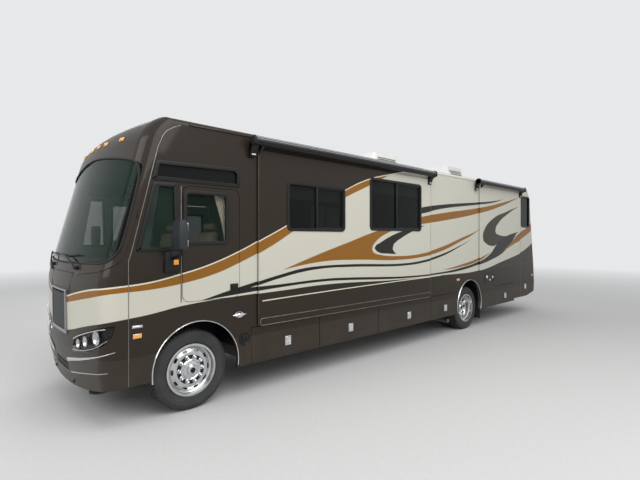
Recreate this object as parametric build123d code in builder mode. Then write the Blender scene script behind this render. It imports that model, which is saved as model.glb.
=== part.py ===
from build123d import *
import os
from math import cos, radians, sin

os.makedirs("parts", exist_ok=True)

# Driving dimensions in millimetres: X forward, Y to the driver's side, Z up from the road
WHEELBASE = 6400
NOSE_REACH = 1096
TAIL_REACH = 3794.5
HALF_WIDTH = 1280
SKIRT_Z = 400
NOSE_SKIRT_Z = 455
EDGE_Z = 3240
CROWN_Z = 3345
WALL = 45
CAP_SKIN = 40
GAP = 8

# Floors and frame heights
FLOOR_Z = 860
FLOOR_SKIN = 60
CAB_FLOOR_Z = 1160
CAB_FLOOR_SKIN = 40
BAY_FLOOR_Z = 405
RAIL_LOW = 600
RAIL_HIGH = 800
RAIL_OUT = 432
RAIL_IN = 352

# Wheels
TYRE_R = 458.5
TYRE_W = 248
BEAD_R = 286
RIM_LIP_R = 300
OUTER_WHEEL_Y = 1066
INNER_WHEEL_Y = 784
KINGPIN_Y = 860
ARM_LENGTH = 230

# The front axle stands so that the nose and the tail are equally far from the origin
FRONT_X = (WHEELBASE + TAIL_REACH - NOSE_REACH) / 2
REAR_X = FRONT_X - WHEELBASE
TAIL_SEAM_X = FRONT_X - 9080


def ahead(x):
    """Position along the coach, from a distance ahead of the front axle."""
    return FRONT_X + x


def side_plane(y):
    """Upright plane whose sketch runs along X and Z and whose normal points to -Y."""
    return Plane.XZ.offset(-y)


# Nose and tail skins: a bowed plan with round corners, carried up a side profile
NOSE_FOOT = [(1040, 320), (1085, 640), (1098, 1500), (700, 3000)]
NOSE_TOP = (400, CROWN_Z)
NOSE_BENDS = [700, 900]
NOSE_BOW = 10
NOSE_CORNER = 200
TAIL_FOOT = [(10150, 440), (10200, 740), (10140, 1305), (9880, 2900)]
TAIL_TOP = (9600, CROWN_Z)
TAIL_BENDS = [600, 2500]
TAIL_BOW = 3
TAIL_CORNER = 180


def end_solid(foot, bends, top, bow, corner, inset, length):
    """Solid end of the coach, pointing along +X from the front axle, drawn inset from its skin."""
    tip_x, tip_z = foot[0]
    bow_y = HALF_WIDTH - corner + corner * sin(radians(bow))
    bow_r = bow_y / sin(radians(bow))
    corner_x = tip_x - bow_r * (1 - cos(radians(bow))) - corner * cos(radians(bow))
    corner_y = HALF_WIDTH - corner
    side_y = HALF_WIDTH - inset
    (run_x, run_z), (end_x, end_z) = foot[-2:]
    with BuildPart() as solid:
        with BuildLine(Plane.XZ) as rise:
            FilletPolyline(*foot, radius=bends)
            TangentArc(foot[-1], top, tangent=(end_x - run_x, end_z - run_z))
        with BuildSketch(Plane.XY.offset(tip_z)):
            with BuildLine():
                CenterArc((tip_x - bow_r, 0), bow_r - inset, -bow, 2 * bow)
                CenterArc((corner_x, corner_y), corner - inset, bow, 90 - bow)
                CenterArc((corner_x, -corner_y), corner - inset, -90, 90 - bow)
                Polyline((corner_x, side_y), (tip_x - length, side_y),
                         (tip_x - length, -side_y), (corner_x, -side_y))
            make_face()
        sweep(path=rise.wires()[0], normal=(0, 0, 1))
    return solid.part


def nose_solid(inset):
    """The front end's skin surface or a surface inside it, filled."""
    solid = end_solid(NOSE_FOOT, NOSE_BENDS, NOSE_TOP, NOSE_BOW, NOSE_CORNER, inset, 1500)
    return solid.moved(Location((FRONT_X, 0, 0)))


def tail_solid(inset):
    """The rear end's skin surface or a surface inside it, filled."""
    solid = end_solid(TAIL_FOOT, TAIL_BENDS, TAIL_TOP, TAIL_BOW, TAIL_CORNER, inset, 1400)
    return mirror(solid, about=Plane.YZ).moved(Location((FRONT_X, 0, 0)))


def coach_section(inset, low):
    """Cross-section of the body: upright sides, rounded roof edges and a crowned roof."""
    half = HALF_WIDTH - inset
    round_r = 70 - inset / 2
    shoulder = (half - round_r, EDGE_Z + round_r)
    with BuildSketch() as section:
        with BuildLine():
            Polyline((half, EDGE_Z), (half, low), (-half, low), (-half, EDGE_Z))
            TangentArc((half, EDGE_Z), shoulder, tangent=(0, 1))
            TangentArc((-half, EDGE_Z), (-shoulder[0], shoulder[1]), tangent=(0, 1))
            ThreePointArc(shoulder, (0, CROWN_Z - inset), (-shoulder[0], shoulder[1]))
        make_face()
    return section.sketch


def nose_seam():
    """Joint between the side wall and the front cap, from the skirt to the roof edge."""
    Polyline((ahead(735), NOSE_SKIRT_Z), (ahead(735), 1740), (ahead(700), 1860), (ahead(430), 2960))
    ThreePointArc((ahead(430), 2960), (ahead(342), 3118), (ahead(100), EDGE_Z))


def rounded_opening(front, rear, low, high, radius):
    """Rounded rectangle between two distances from the front axle and two heights."""
    with Locations((ahead((front + rear) / 2), (low + high) / 2)):
        RectangleRounded(front - rear, high - low, radius)


NOSE_SKIN = nose_solid(0)
NOSE_LINING = nose_solid(CAP_SKIN)
TAIL_SKIN = tail_solid(0)
TAIL_LINING = tail_solid(CAP_SKIN)

# Side openings by kind: front edge, rear edge, low edge, high edge, corner radius
QUARTER_WINDOW = [(540, 1850), (215, 1845), (235, 2575), (420, 2575)]
BROW_WINDOW = [(490, 2615), (440, 2805), (-500, 2825), (-570, 2775), (-570, 2615)]
DRIVER_DOOR = (165, -580, 1260, 2570, 90)
DOOR_WINDOW = (137, -415, 1915, 2510, 70)
ENTRY_DOOR = (-860, -1520, 620, 2550, 60)
ENTRY_WINDOW = (-960, -1420, 1700, 2400, 60)
LEFT_SLIDE = (-840, -4800, FLOOR_Z, 3100)
REAR_SLIDE = (-6800, -9000, 1250, 3150)
LEFT_SLIDE_WINDOWS = [(-1310, -2420, 2090, 2740, 60), (-3020, -4470, 2120, 2960, 70)]
RIGHT_WINDOWS = [(137, -415, 1915, 2510, 70), (-2150, -3350, 2090, 2740, 60),
                 (-4000, -5000, 2090, 2740, 60), (-7150, -8350, 2120, 2740, 60)]
TAIL_WINDOW = (-9130, -9660, 2280, 3080, 60)
SLIDE_LIP = 40

# Wheel arches: distance ahead of the front axle, centre height, radius
ARCHES = [(-30, 505, 525), (-6390, 560, 517)]

# Storage bay doors: side, front edge, rear edge
BAY_DOORS = [(1, -745, -1926), (1, -1926, -3268), (1, -3268, -4850), (1, -4850, -5740),
             (1, -7600, -8700), (-1, -1926, -3268), (-1, -3268, -4850), (-1, -4850, -5740),
             (-1, -7600, -8700)]
SIDE_NAMES = {1: "left", -1: "right"}

# Side walls, cut for the arches, the doors, the slide-outs, the windows and the storage bays
for side, bays_start in ((1, -745), (-1, -1926)):
    with BuildPart() as wall:
        with BuildSketch(side_plane(HALF_WIDTH if side > 0 else WALL - HALF_WIDTH)):
            with BuildLine():
                nose_seam()
                Polyline((ahead(100), EDGE_Z), (TAIL_SEAM_X, EDGE_Z), (TAIL_SEAM_X, 455),
                         (ahead(-8700), 455), (ahead(-8700), FLOOR_Z), (ahead(-7600), FLOOR_Z),
                         (ahead(-7600), SKIRT_Z), (ahead(-5740), SKIRT_Z), (ahead(-5740), FLOOR_Z),
                         (ahead(bays_start), FLOOR_Z), (ahead(bays_start), SKIRT_Z),
                         (ahead(-300), SKIRT_Z), (ahead(250), NOSE_SKIRT_Z), (ahead(735), NOSE_SKIRT_Z))
            make_face()
        extrude(amount=WALL)
        with BuildSketch(side_plane(side * HALF_WIDTH)):
            for x, z, radius in ARCHES:
                with Locations((ahead(x), z)):
                    Circle(radius)
            for outline in (QUARTER_WINDOW, BROW_WINDOW):
                with BuildLine():
                    Polyline(*[(ahead(x), z) for x, z in outline], close=True)
                make_face()
            if side > 0:
                rounded_opening(*DRIVER_DOOR)
                for front, rear, low, high in (LEFT_SLIDE, REAR_SLIDE):
                    rounded_opening(front - SLIDE_LIP, rear + SLIDE_LIP,
                                    low + SLIDE_LIP, high - SLIDE_LIP, 30)
            else:
                rounded_opening(*ENTRY_DOOR)
                for window in RIGHT_WINDOWS:
                    rounded_opening(*window)
        extrude(amount=100, both=True, mode=Mode.SUBTRACT)
    wall_name = f"{SIDE_NAMES[side]}_wall"
    wall.part.label = wall_name
    export_step(wall.part, f"parts/{wall_name}.step")

# Roof: a crowned sheet that ends against the linings of both caps
with BuildPart() as lining_ends:
    with Locations((ahead(247), 0, CROWN_Z)):
        Box(424, 3000, 300)
    with Locations((ahead(-9680), 0, CROWN_Z)):
        Box(1200, 3000, 300)
    add(NOSE_LINING, mode=Mode.SUBTRACT)
    add(TAIL_LINING, mode=Mode.SUBTRACT)
with BuildPart() as roof:
    with BuildSketch(Plane.YZ.offset(ahead(-9900))):
        add(coach_section(0, 3000))
        add(coach_section(WALL, 2900), mode=Mode.SUBTRACT)
        with Locations((0, EDGE_Z - 200)):
            Rectangle(3000, 400, mode=Mode.SUBTRACT)
    extrude(amount=9900 + 455)
    add(lining_ends.part, mode=Mode.SUBTRACT)
roof.part.label = "roof"
export_step(roof.part, "parts/roof.step")

# Front cap: one moulded shell round the windshield, the grilles and the headlamps
GLASS_HALF = 1257
GLASS_BASE = 1700
GLASS_SHOULDER = (1160, 2800)
GLASS_CROWN = 2942
# Grilles: half width, low edge, high edge, bars
UPPER_GRILLE = (300, 940, 1375, 9)
LOWER_GRILLE = (300, 460, 590, 3)
HEADLAMP = [(500, 800), (562, 900), (705, 958), (1150, 1076), (1268, 1098), (1262, 1010),
            (1228, 915), (1146, 862), (885, 790), (545, 742)]
HEADLAMP_BACK = 850
BUMPER_LOW = 325
BUMPER_SIDE = 450


def windshield_outline(shrink):
    """Front view of the windshield: a crowned top and lower corners that sweep up the pillars."""
    shoulder_y, shoulder_z = GLASS_SHOULDER
    with BuildSketch() as outline:
        with BuildLine():
            ThreePointArc((-shoulder_y, shoulder_z), (0, GLASS_CROWN), GLASS_SHOULDER)
            for side in (1, -1):
                FilletPolyline((side * shoulder_y, shoulder_z), (side * (GLASS_HALF - 8), shoulder_z - 22),
                               (side * GLASS_HALF, GLASS_BASE + 14), (0, GLASS_BASE), radius=[75, 160])
        make_face()
        if shrink:
            offset(amount=-shrink, mode=Mode.REPLACE)
    return outline.sketch


def headlamp_outline(shrink):
    """Front view of both swept-back headlamps."""
    with BuildSketch() as outline:
        for side in (1, -1):
            with BuildLine():
                Polyline(*[(side * y, z) for y, z in HEADLAMP], close=True)
            make_face()
        if shrink:
            offset(amount=-shrink, mode=Mode.REPLACE)
    return outline.sketch


def nose_band(outer, inner):
    """Thin sheet that follows the nose between two insets."""
    with BuildPart() as band:
        add(nose_solid(outer) if outer else NOSE_SKIN)
        add(nose_solid(inner), mode=Mode.SUBTRACT)
    return band.part


with BuildPart() as front_cap:
    add(NOSE_SKIN)
    add(NOSE_LINING, mode=Mode.SUBTRACT)
    with BuildSketch(Plane.YZ.offset(ahead(-1200))):
        add(coach_section(0, 300))
    extrude(amount=2600, mode=Mode.INTERSECT)
    with BuildSketch(side_plane(0)):
        with BuildLine():
            nose_seam()
            Polyline((ahead(100), EDGE_Z), (ahead(35), EDGE_Z), (ahead(35), 3500), (ahead(-2000), 3500),
                     (ahead(-2000), 300), (ahead(735), 300), (ahead(735), NOSE_SKIRT_Z))
        make_face()
    extrude(amount=1500, both=True, mode=Mode.SUBTRACT)
    for half, low, high, bars in (UPPER_GRILLE, LOWER_GRILLE):
        with Locations((ahead(NOSE_REACH), 0, (low + high) / 2)):
            Box(400, 2 * half, high - low, mode=Mode.SUBTRACT)
    with BuildSketch(Plane.YZ.offset(ahead(300))):
        add(windshield_outline(0))
        with BuildLine():
            ThreePointArc((-HALF_WIDTH, BUMPER_SIDE), (0, BUMPER_LOW), (HALF_WIDTH, BUMPER_SIDE))
            Polyline((HALF_WIDTH, BUMPER_SIDE), (HALF_WIDTH, 200), (-HALF_WIDTH, 200),
                     (-HALF_WIDTH, BUMPER_SIDE))
        make_face()
    extrude(amount=1000, mode=Mode.SUBTRACT)
    with BuildSketch(Plane.YZ.offset(ahead(HEADLAMP_BACK))):
        add(headlamp_outline(0))
    extrude(amount=500, mode=Mode.SUBTRACT)
front_cap.part.label = "front_cap"
export_step(front_cap.part, "parts/front_cap.step")

with BuildPart() as windshield:
    with BuildSketch(Plane.YZ.offset(ahead(300))):
        add(windshield_outline(4))
    extrude(amount=1000)
    add(nose_band(6, 16), mode=Mode.INTERSECT)
windshield.part.label = "windshield"
export_step(windshield.part, "parts/windshield.step")

with BuildPart() as headlamps:
    with BuildSketch(Plane.YZ.offset(ahead(HEADLAMP_BACK))):
        add(headlamp_outline(3))
    extrude(amount=500)
    add(nose_band(0, 30), mode=Mode.INTERSECT)
headlamps.part.label = "headlamps"
export_step(headlamps.part, "parts/headlamps.step")

# Grilles: two frames filled with horizontal bars, following the bow of the nose
GRILLE_EDGE = 25
GRILLE_BAR = 14
with BuildPart() as grille:
    with BuildSketch(Plane.YZ.offset(ahead(900))):
        for half, low, high, bars in (UPPER_GRILLE, LOWER_GRILLE):
            with Locations((0, (low + high) / 2)):
                RectangleRounded(2 * half - 6, high - low - 6, 8)
                RectangleRounded(2 * half - 2 * GRILLE_EDGE, high - low - 2 * GRILLE_EDGE, 10,
                                 mode=Mode.SUBTRACT)
        for half, low, high, bars in (UPPER_GRILLE, LOWER_GRILLE):
            pitch = (high - low - 2 * GRILLE_EDGE) / (bars + 1)
            with Locations([(0, low + GRILLE_EDGE + pitch * (bar + 1)) for bar in range(bars)]):
                Rectangle(2 * half - GRILLE_EDGE, GRILLE_BAR)
    extrude(amount=300)
    add(nose_band(4, 34), mode=Mode.INTERSECT)
grille.part.label = "grille"
export_step(grille.part, "parts/grille.step")

# Rear cap with its side windows and tail lamp recesses
TAIL_LAMP = (1060, 1160, 130, 300)


def tail_lamp_outline(shrink):
    """Both tail lamps, seen from behind."""
    y, z, width, height = TAIL_LAMP
    with Locations((y, z), (-y, z)):
        RectangleRounded(width - 2 * shrink, height - 2 * shrink, 30 - shrink)


with BuildPart() as rear_cap:
    add(TAIL_SKIN)
    add(TAIL_LINING, mode=Mode.SUBTRACT)
    with BuildSketch(Plane.YZ.offset(ahead(-10400))):
        add(coach_section(0, 300))
    extrude(amount=2600, mode=Mode.INTERSECT)
    with BuildSketch(side_plane(0)):
        with BuildLine():
            Polyline((TAIL_SEAM_X, 300), (TAIL_SEAM_X, 3500), (ahead(-7000), 3500), (ahead(-7000), 300),
                     close=True)
        make_face()
        with BuildLine():
            Polyline((ahead(-9500), 455), (ahead(-9000), 455), (ahead(-9000), 300), (ahead(-10400), 300),
                     (ahead(-10400), 610), close=True)
        make_face()
        rounded_opening(*TAIL_WINDOW)
    extrude(amount=1500, both=True, mode=Mode.SUBTRACT)
    with BuildSketch(Plane.YZ.offset(ahead(-10300))):
        tail_lamp_outline(0)
    extrude(amount=300, mode=Mode.SUBTRACT)
rear_cap.part.label = "rear_cap"
export_step(rear_cap.part, "parts/rear_cap.step")

with BuildPart() as tail_band:
    add(TAIL_SKIN)
    add(tail_solid(30), mode=Mode.SUBTRACT)
with BuildPart() as tail_lamps:
    with BuildSketch(Plane.YZ.offset(ahead(-10300))):
        tail_lamp_outline(3)
    extrude(amount=300)
    add(tail_band.part, mode=Mode.INTERSECT)
tail_lamps.part.label = "tail_lamps"
export_step(tail_lamps.part, "parts/tail_lamps.step")

# Fixed panes of the side walls and the rear corners, set in the middle of the wall
PANE = 6
PANE_INSET = 20
with BuildPart() as wall_glass:
    for side in (1, -1):
        with BuildSketch(side_plane(side * (HALF_WIDTH - PANE_INSET))):
            for outline in (QUARTER_WINDOW, BROW_WINDOW):
                with BuildLine():
                    Polyline(*[(ahead(x), z) for x, z in outline], close=True)
                make_face()
            if side < 0:
                for window in RIGHT_WINDOWS:
                    rounded_opening(*window)
            rounded_opening(*TAIL_WINDOW)
        extrude(amount=PANE)
wall_glass.part.label = "wall_glass"
export_step(wall_glass.part, "parts/wall_glass.step")

# Floor: main slab and raised cab floor, open for the entry step well and the twin wheels
# Step well: front edge, rear edge, inner face, tread height, sill height
STEP_WELL = (-870, -1510, 850, 590, 750)
WELL_SKIN = 15
WELL_FLANGE = 30
WELL_FLANGE_T = 5
FLOOR_Y = HALF_WIDTH - WALL
HOUSING_SKIN = 12
REAR_HOUSING_R = 530
REAR_HOUSING_IN = 610
with BuildPart() as floor:
    with BuildSketch(side_plane(FLOOR_Y)):
        with BuildLine():
            Polyline((ahead(640), CAB_FLOOR_Z), (ahead(-760), CAB_FLOOR_Z), (ahead(-760), FLOOR_Z),
                     (ahead(-9900), FLOOR_Z), (ahead(-9900), FLOOR_Z - FLOOR_SKIN),
                     (ahead(-760 + CAB_FLOOR_SKIN), FLOOR_Z - FLOOR_SKIN),
                     (ahead(-760 + CAB_FLOOR_SKIN), CAB_FLOOR_Z - CAB_FLOOR_SKIN),
                     (ahead(640), CAB_FLOOR_Z - CAB_FLOOR_SKIN), close=True)
        make_face()
    extrude(amount=2 * FLOOR_Y)
    with BuildSketch(side_plane(FLOOR_Y)):
        with Locations((ahead(ARCHES[1][0]), ARCHES[1][1])):
            Circle(REAR_HOUSING_R + HOUSING_SKIN + 3)
    extrude(amount=FLOOR_Y - REAR_HOUSING_IN + 3, mode=Mode.SUBTRACT)
    with BuildSketch(side_plane(3 - REAR_HOUSING_IN)):
        with Locations((ahead(ARCHES[1][0]), ARCHES[1][1])):
            Circle(REAR_HOUSING_R + HOUSING_SKIN + 3)
    extrude(amount=FLOOR_Y - REAR_HOUSING_IN + 3, mode=Mode.SUBTRACT)
    well_front, well_rear, well_in, tread_z, sill_z = STEP_WELL
    well_x = ahead((well_front + well_rear) / 2)
    well_y = -(well_in + FLOOR_Y) / 2
    well_length = well_front - well_rear
    well_depth = FLOOR_Y - well_in
    with Locations((well_x, well_y - 10, FLOOR_Z - FLOOR_SKIN / 2)):
        Box(well_length + 4, well_depth + 24, 2 * FLOOR_SKIN, mode=Mode.SUBTRACT)
floor.part.label = "floor"
export_step(floor.part, "parts/floor.step")

# Entry step well: an open box hung in the floor by its flange, with one step inside
with BuildPart() as entry_well:
    well_top = FLOOR_Z + WELL_FLANGE_T
    with Locations((well_x, well_y, (tread_z - WELL_SKIN + well_top) / 2)):
        Box(well_length, well_depth, well_top - tread_z + WELL_SKIN)
    with Locations((well_x, well_y + WELL_FLANGE / 2, FLOOR_Z + WELL_FLANGE_T / 2)):
        Box(well_length + 2 * WELL_FLANGE, well_depth + WELL_FLANGE, WELL_FLANGE_T)
    with Locations((well_x, well_y - WELL_SKIN, (tread_z + well_top) / 2)):
        Box(well_length - 2 * WELL_SKIN, well_depth, well_top - tread_z, mode=Mode.SUBTRACT)
    with Locations((well_x, -well_in - 90, (tread_z + sill_z) / 2 - WELL_SKIN)):
        Box(well_length, 180, sill_z - tread_z)
entry_well.part.label = "entry_well"
export_step(entry_well.part, "parts/entry_well.step")

# Wheel housings: rounded boxes over the steered wheels, arched shells over the twin wheels
# Front housings: front face, rear face, inner face, corner radius
FRONT_HOUSING = (600, -640, 600, 180)
FRONT_HOUSING_TOP = CAB_FLOOR_Z - CAB_FLOOR_SKIN
with BuildPart() as wheel_housings:
    front, rear, front_in, corner = FRONT_HOUSING
    for skin, mode in ((0, Mode.ADD), (HOUSING_SKIN, Mode.SUBTRACT)):
        for side in (1, -1):
            inner = front_in + skin
            with BuildSketch(side_plane(FLOOR_Y if side > 0 else -inner)):
                with Locations((ahead((front + rear) / 2), RAIL_LOW)):
                    RectangleRounded(front - rear - 2 * skin, 2 * (FRONT_HOUSING_TOP - RAIL_LOW - skin),
                                     corner - skin)
            extrude(amount=FLOOR_Y - inner, mode=mode)
            inner = REAR_HOUSING_IN + skin
            with BuildSketch(side_plane(FLOOR_Y if side > 0 else -inner)):
                with Locations((ahead(ARCHES[1][0]), ARCHES[1][1])):
                    Circle(REAR_HOUSING_R + HOUSING_SKIN - skin)
            extrude(amount=FLOOR_Y - inner, mode=mode)
    with Locations((ahead(-3200), 0, 0)):
        Box(9000, 3 * FLOOR_Y, 2 * RAIL_LOW, mode=Mode.SUBTRACT)
wheel_housings.part.label = "wheel_housings"
export_step(wheel_housings.part, "parts/wheel_housings.step")

# Storage bays: open-sided trays with a partition between neighbouring doors
BAY_IN = 480
BAY_OUT = 1240
BAY_TOP = 800
TRAY_SKIN = 20
# Tray runs: side, front edge, rear edge, partitions between
TRAYS = [(1, -765, -5720, (-1926, -3268, -4850)), (-1, -1946, -5720, (-3268, -4850)),
         (1, -7620, -8680, ()), (-1, -7620, -8680, ())]
with BuildPart() as storage_bays:
    middle_y = (BAY_IN + BAY_OUT) / 2
    middle_z = (BAY_FLOOR_Z + BAY_TOP) / 2
    for side, front, rear, partitions in TRAYS:
        with BuildSketch(Plane.YZ.offset(ahead(rear))):
            with Locations((side * middle_y, middle_z)):
                Rectangle(BAY_OUT - BAY_IN, BAY_TOP - BAY_FLOOR_Z)
            with Locations((side * (middle_y + TRAY_SKIN), middle_z + TRAY_SKIN / 2)):
                Rectangle(BAY_OUT - BAY_IN, BAY_TOP - BAY_FLOOR_Z - TRAY_SKIN, mode=Mode.SUBTRACT)
        extrude(amount=front - rear)
        walls = (front - TRAY_SKIN / 2, rear + TRAY_SKIN / 2) + partitions
        with Locations([(ahead(x), side * middle_y, middle_z) for x in walls]):
            Box(TRAY_SKIN, BAY_OUT - BAY_IN, BAY_TOP - BAY_FLOOR_Z)
storage_bays.part.label = "storage_bays"
export_step(storage_bays.part, "parts/storage_bays.step")

# Storage bay doors, hinged along their upper edges
BAY_DOOR_TOP = FLOOR_Z - GAP
BAY_DOOR_SKIN = 30
door_count = {1: 0, -1: 0}
for side, front, rear in BAY_DOORS:
    door_count[side] += 1
    with BuildPart() as bay_door:
        with BuildSketch(side_plane(HALF_WIDTH if side > 0 else BAY_DOOR_SKIN - HALF_WIDTH)):
            rounded_opening(front - 5, rear + 5, SKIRT_Z, BAY_DOOR_TOP, 8)
        extrude(amount=BAY_DOOR_SKIN)
    door_name = f"bay_door_{SIDE_NAMES[side]}_{door_count[side]}"
    bay_door.part.label = door_name
    export_step(bay_door.part, f"parts/{door_name}.step")

# Cab doors: one leaf with its window cut, and the pane inside it
for door_name, side, leaf, pane in (("driver_door", 1, DRIVER_DOOR, DOOR_WINDOW),
                                    ("entry_door", -1, ENTRY_DOOR, ENTRY_WINDOW)):
    front, rear, low, high, radius = leaf
    with BuildPart() as door:
        with BuildSketch(side_plane(HALF_WIDTH if side > 0 else WALL - HALF_WIDTH)):
            rounded_opening(front - 6, rear + 6, low + 6, high - 6, radius - 6)
        extrude(amount=WALL)
        with BuildSketch(side_plane(side * HALF_WIDTH)):
            rounded_opening(*pane)
        extrude(amount=100, both=True, mode=Mode.SUBTRACT)
    door.part.label = door_name
    export_step(door.part, f"parts/{door_name}.step")
    with BuildPart() as door_glass:
        with BuildSketch(side_plane(side * (HALF_WIDTH - PANE_INSET))):
            rounded_opening(*pane)
        extrude(amount=PANE)
    door_glass.part.label = f"{door_name}_glass"
    export_step(door_glass.part, f"parts/{door_name}_glass.step")

# Slide-outs: a room box open to the cabin, an outer fascia, an inner flange and a topper roller
FASCIA_IN = HALF_WIDTH + 6
FASCIA_OUT = HALF_WIDTH + 28
ROLLER_Y = 1385
ROLLER_R = 52
# Slide-outs: name, outline, depth inside the wall, windows, roller ends and height
SLIDES = [("slide_out_front", LEFT_SLIDE, 755, LEFT_SLIDE_WINDOWS, -700, -4815, 3190),
          ("slide_out_rear", REAR_SLIDE, 555, [], -6560, -9040, 3222)]
for slide_name, outline, depth, windows, roller_front, roller_rear, roller_z in SLIDES:
    front, rear, low, high = outline
    box_front = front - SLIDE_LIP - GAP
    box_rear = rear + SLIDE_LIP + GAP
    box_low = low + SLIDE_LIP + GAP
    box_high = high - SLIDE_LIP - GAP
    flange_y = FLOOR_Y - 5 - depth
    with BuildPart() as slide:
        with BuildSketch(side_plane(FASCIA_OUT)):
            rounded_opening(front, rear, low, high, 25)
        extrude(amount=FASCIA_OUT - FASCIA_IN)
        with BuildSketch(side_plane(FASCIA_OUT)):
            rounded_opening(box_front, box_rear, box_low, box_high, 20)
        extrude(amount=FASCIA_OUT - flange_y + 20)
        with BuildSketch(side_plane(flange_y)):
            rounded_opening(front, rear, box_low, high, 20)
        extrude(amount=20)
        with BuildSketch(side_plane(FASCIA_OUT - WALL)):
            rounded_opening(box_front - 40, box_rear + 40, box_low + 40, box_high - 40, 10)
        extrude(amount=1000, mode=Mode.SUBTRACT)
        for window in windows:
            with BuildSketch(side_plane(FASCIA_OUT + 20)):
                rounded_opening(*window)
            extrude(amount=120, mode=Mode.SUBTRACT)
        with BuildSketch(Plane.YZ.offset(ahead(roller_rear))):
            with Locations((ROLLER_Y, roller_z)):
                Circle(ROLLER_R)
        extrude(amount=roller_front - roller_rear)
        for arm_x in (front - 30, rear + 5):
            with BuildSketch(Plane.YZ.offset(ahead(arm_x))):
                with BuildLine():
                    Polyline((FASCIA_IN, high - 60), (FASCIA_OUT, high - 60), (ROLLER_Y + 30, roller_z - 30),
                             (ROLLER_Y + 30, roller_z + 30), (ROLLER_Y - 30, roller_z + 30),
                             (FASCIA_IN, high), close=True)
                make_face()
            extrude(amount=25)
    slide.part.label = slide_name
    export_step(slide.part, f"parts/{slide_name}.step")

with BuildPart() as slide_glass:
    for window in LEFT_SLIDE_WINDOWS:
        with BuildSketch(side_plane(FASCIA_OUT - PANE_INSET)):
            rounded_opening(*window)
        extrude(amount=PANE)
slide_glass.part.label = "slide_out_front_glass"
export_step(slide_glass.part, "parts/slide_out_front_glass.step")

# Chassis frame: two rails, cross members, and hangers for the springs
RAIL_FRONT = 930
RAIL_REAR = -9950
CROSS_MEMBERS = [880, -800, -2400, -4000, -5500, -7150, -8600, -9900]
with BuildPart() as chassis_frame:
    for side in (1, -1):
        with BuildSketch(Plane.YZ.offset(ahead(RAIL_REAR))):
            with Locations((side * (RAIL_OUT + RAIL_IN) / 2, (RAIL_LOW + RAIL_HIGH) / 2)):
                Rectangle(RAIL_OUT - RAIL_IN, RAIL_HIGH - RAIL_LOW)
            with Locations((side * ((RAIL_OUT + RAIL_IN) / 2 - 8), (RAIL_LOW + RAIL_HIGH) / 2)):
                Rectangle(RAIL_OUT - RAIL_IN, RAIL_HIGH - RAIL_LOW - 16, mode=Mode.SUBTRACT)
        extrude(amount=RAIL_FRONT - RAIL_REAR)
    with Locations([(ahead(x), 0, (RAIL_LOW + RAIL_HIGH) / 2 + 20) for x in CROSS_MEMBERS]):
        Box(60, 2 * RAIL_OUT - 16, 120)
chassis_frame.part.label = "chassis_frame"
export_step(chassis_frame.part, "parts/chassis_frame.step")

with BuildPart() as engine_block:
    with Locations((ahead(130), 0, 835)):
        Box(880, 600, 540)
engine_block.part.label = "engine_block"
export_step(engine_block.part, "parts/engine_block.step")

# Axles with their leaf packs
SPRING_W = 75
FRONT_SPRING_Y = 392
REAR_SPRING_Y = 520
AXLE_Z = TYRE_R
BOSS_R = 45
KINGPIN_R = 20
SPINDLE_R = 38
SPINDLE_END = 1170
SHAFT_R = 45
SHAFT_END = 1020


def leaf_profile(x, length, drop):
    """Side view of a curved leaf pack under a frame rail, standing on its axle."""
    half = length / 2
    with BuildSketch() as profile:
        with BuildLine():
            ThreePointArc((x - half, RAIL_LOW - 2), (x, RAIL_LOW - drop), (x + half, RAIL_LOW - 2))
            Line((x + half, RAIL_LOW - 2), (x + half, RAIL_LOW - 24))
            ThreePointArc((x + half, RAIL_LOW - 24), (x, RAIL_LOW - drop - 50), (x - half, RAIL_LOW - 24))
            Line((x - half, RAIL_LOW - 24), (x - half, RAIL_LOW - 2))
        make_face()
    return profile.sketch


with BuildPart() as front_axle:
    for side in (1, -1):
        with BuildSketch(side_plane(side * FRONT_SPRING_Y + SPRING_W / 2)):
            add(leaf_profile(FRONT_X, 1300, 60))
        extrude(amount=SPRING_W)
        with Locations((FRONT_X, side * FRONT_SPRING_Y, 505)):
            Box(130, 90, 60)
        with Locations((FRONT_X, side * KINGPIN_Y, AXLE_Z)):
            Cylinder(BOSS_R, 120)
        with Locations((FRONT_X, side * (KINGPIN_Y - 38), AXLE_Z)):
            Box(70, 30, 70)
    with BuildSketch(Plane.YZ.offset(FRONT_X - 45)):
        with BuildLine():
            Polyline((815, AXLE_Z - 40), (815, AXLE_Z + 40), (500, 492), (-500, 492), (-815, AXLE_Z + 40),
                     (-815, AXLE_Z - 40), (-500, 400), (500, 400), close=True)
        make_face()
    extrude(amount=90)
    with Locations([(FRONT_X, side * KINGPIN_Y, AXLE_Z) for side in (1, -1)]):
        Cylinder(KINGPIN_R + 0.5, 140, mode=Mode.SUBTRACT)
front_axle.part.label = "front_axle"
export_step(front_axle.part, "parts/front_axle.step")

with BuildPart() as rear_axle:
    # Half shaft, axle tube and differential, then the drive shaft
    for half, radius in ((SHAFT_END, SHAFT_R), (600, 65)):
        with BuildSketch(side_plane(half)):
            with Locations((REAR_X, AXLE_Z)):
                Circle(radius)
        extrude(amount=2 * half)
    with Locations((REAR_X, 0, AXLE_Z)):
        Sphere(190)
    with BuildSketch(Plane.YZ.offset(REAR_X + 150)):
        with Locations((0, AXLE_Z)):
            Circle(45)
    extrude(amount=4300)
    for side in (1, -1):
        with BuildSketch(side_plane(side * REAR_SPRING_Y + SPRING_W / 2)):
            add(leaf_profile(REAR_X, 1280, 75))
        extrude(amount=SPRING_W)
rear_axle.part.label = "rear_axle"
export_step(rear_axle.part, "parts/rear_axle.step")

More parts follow.
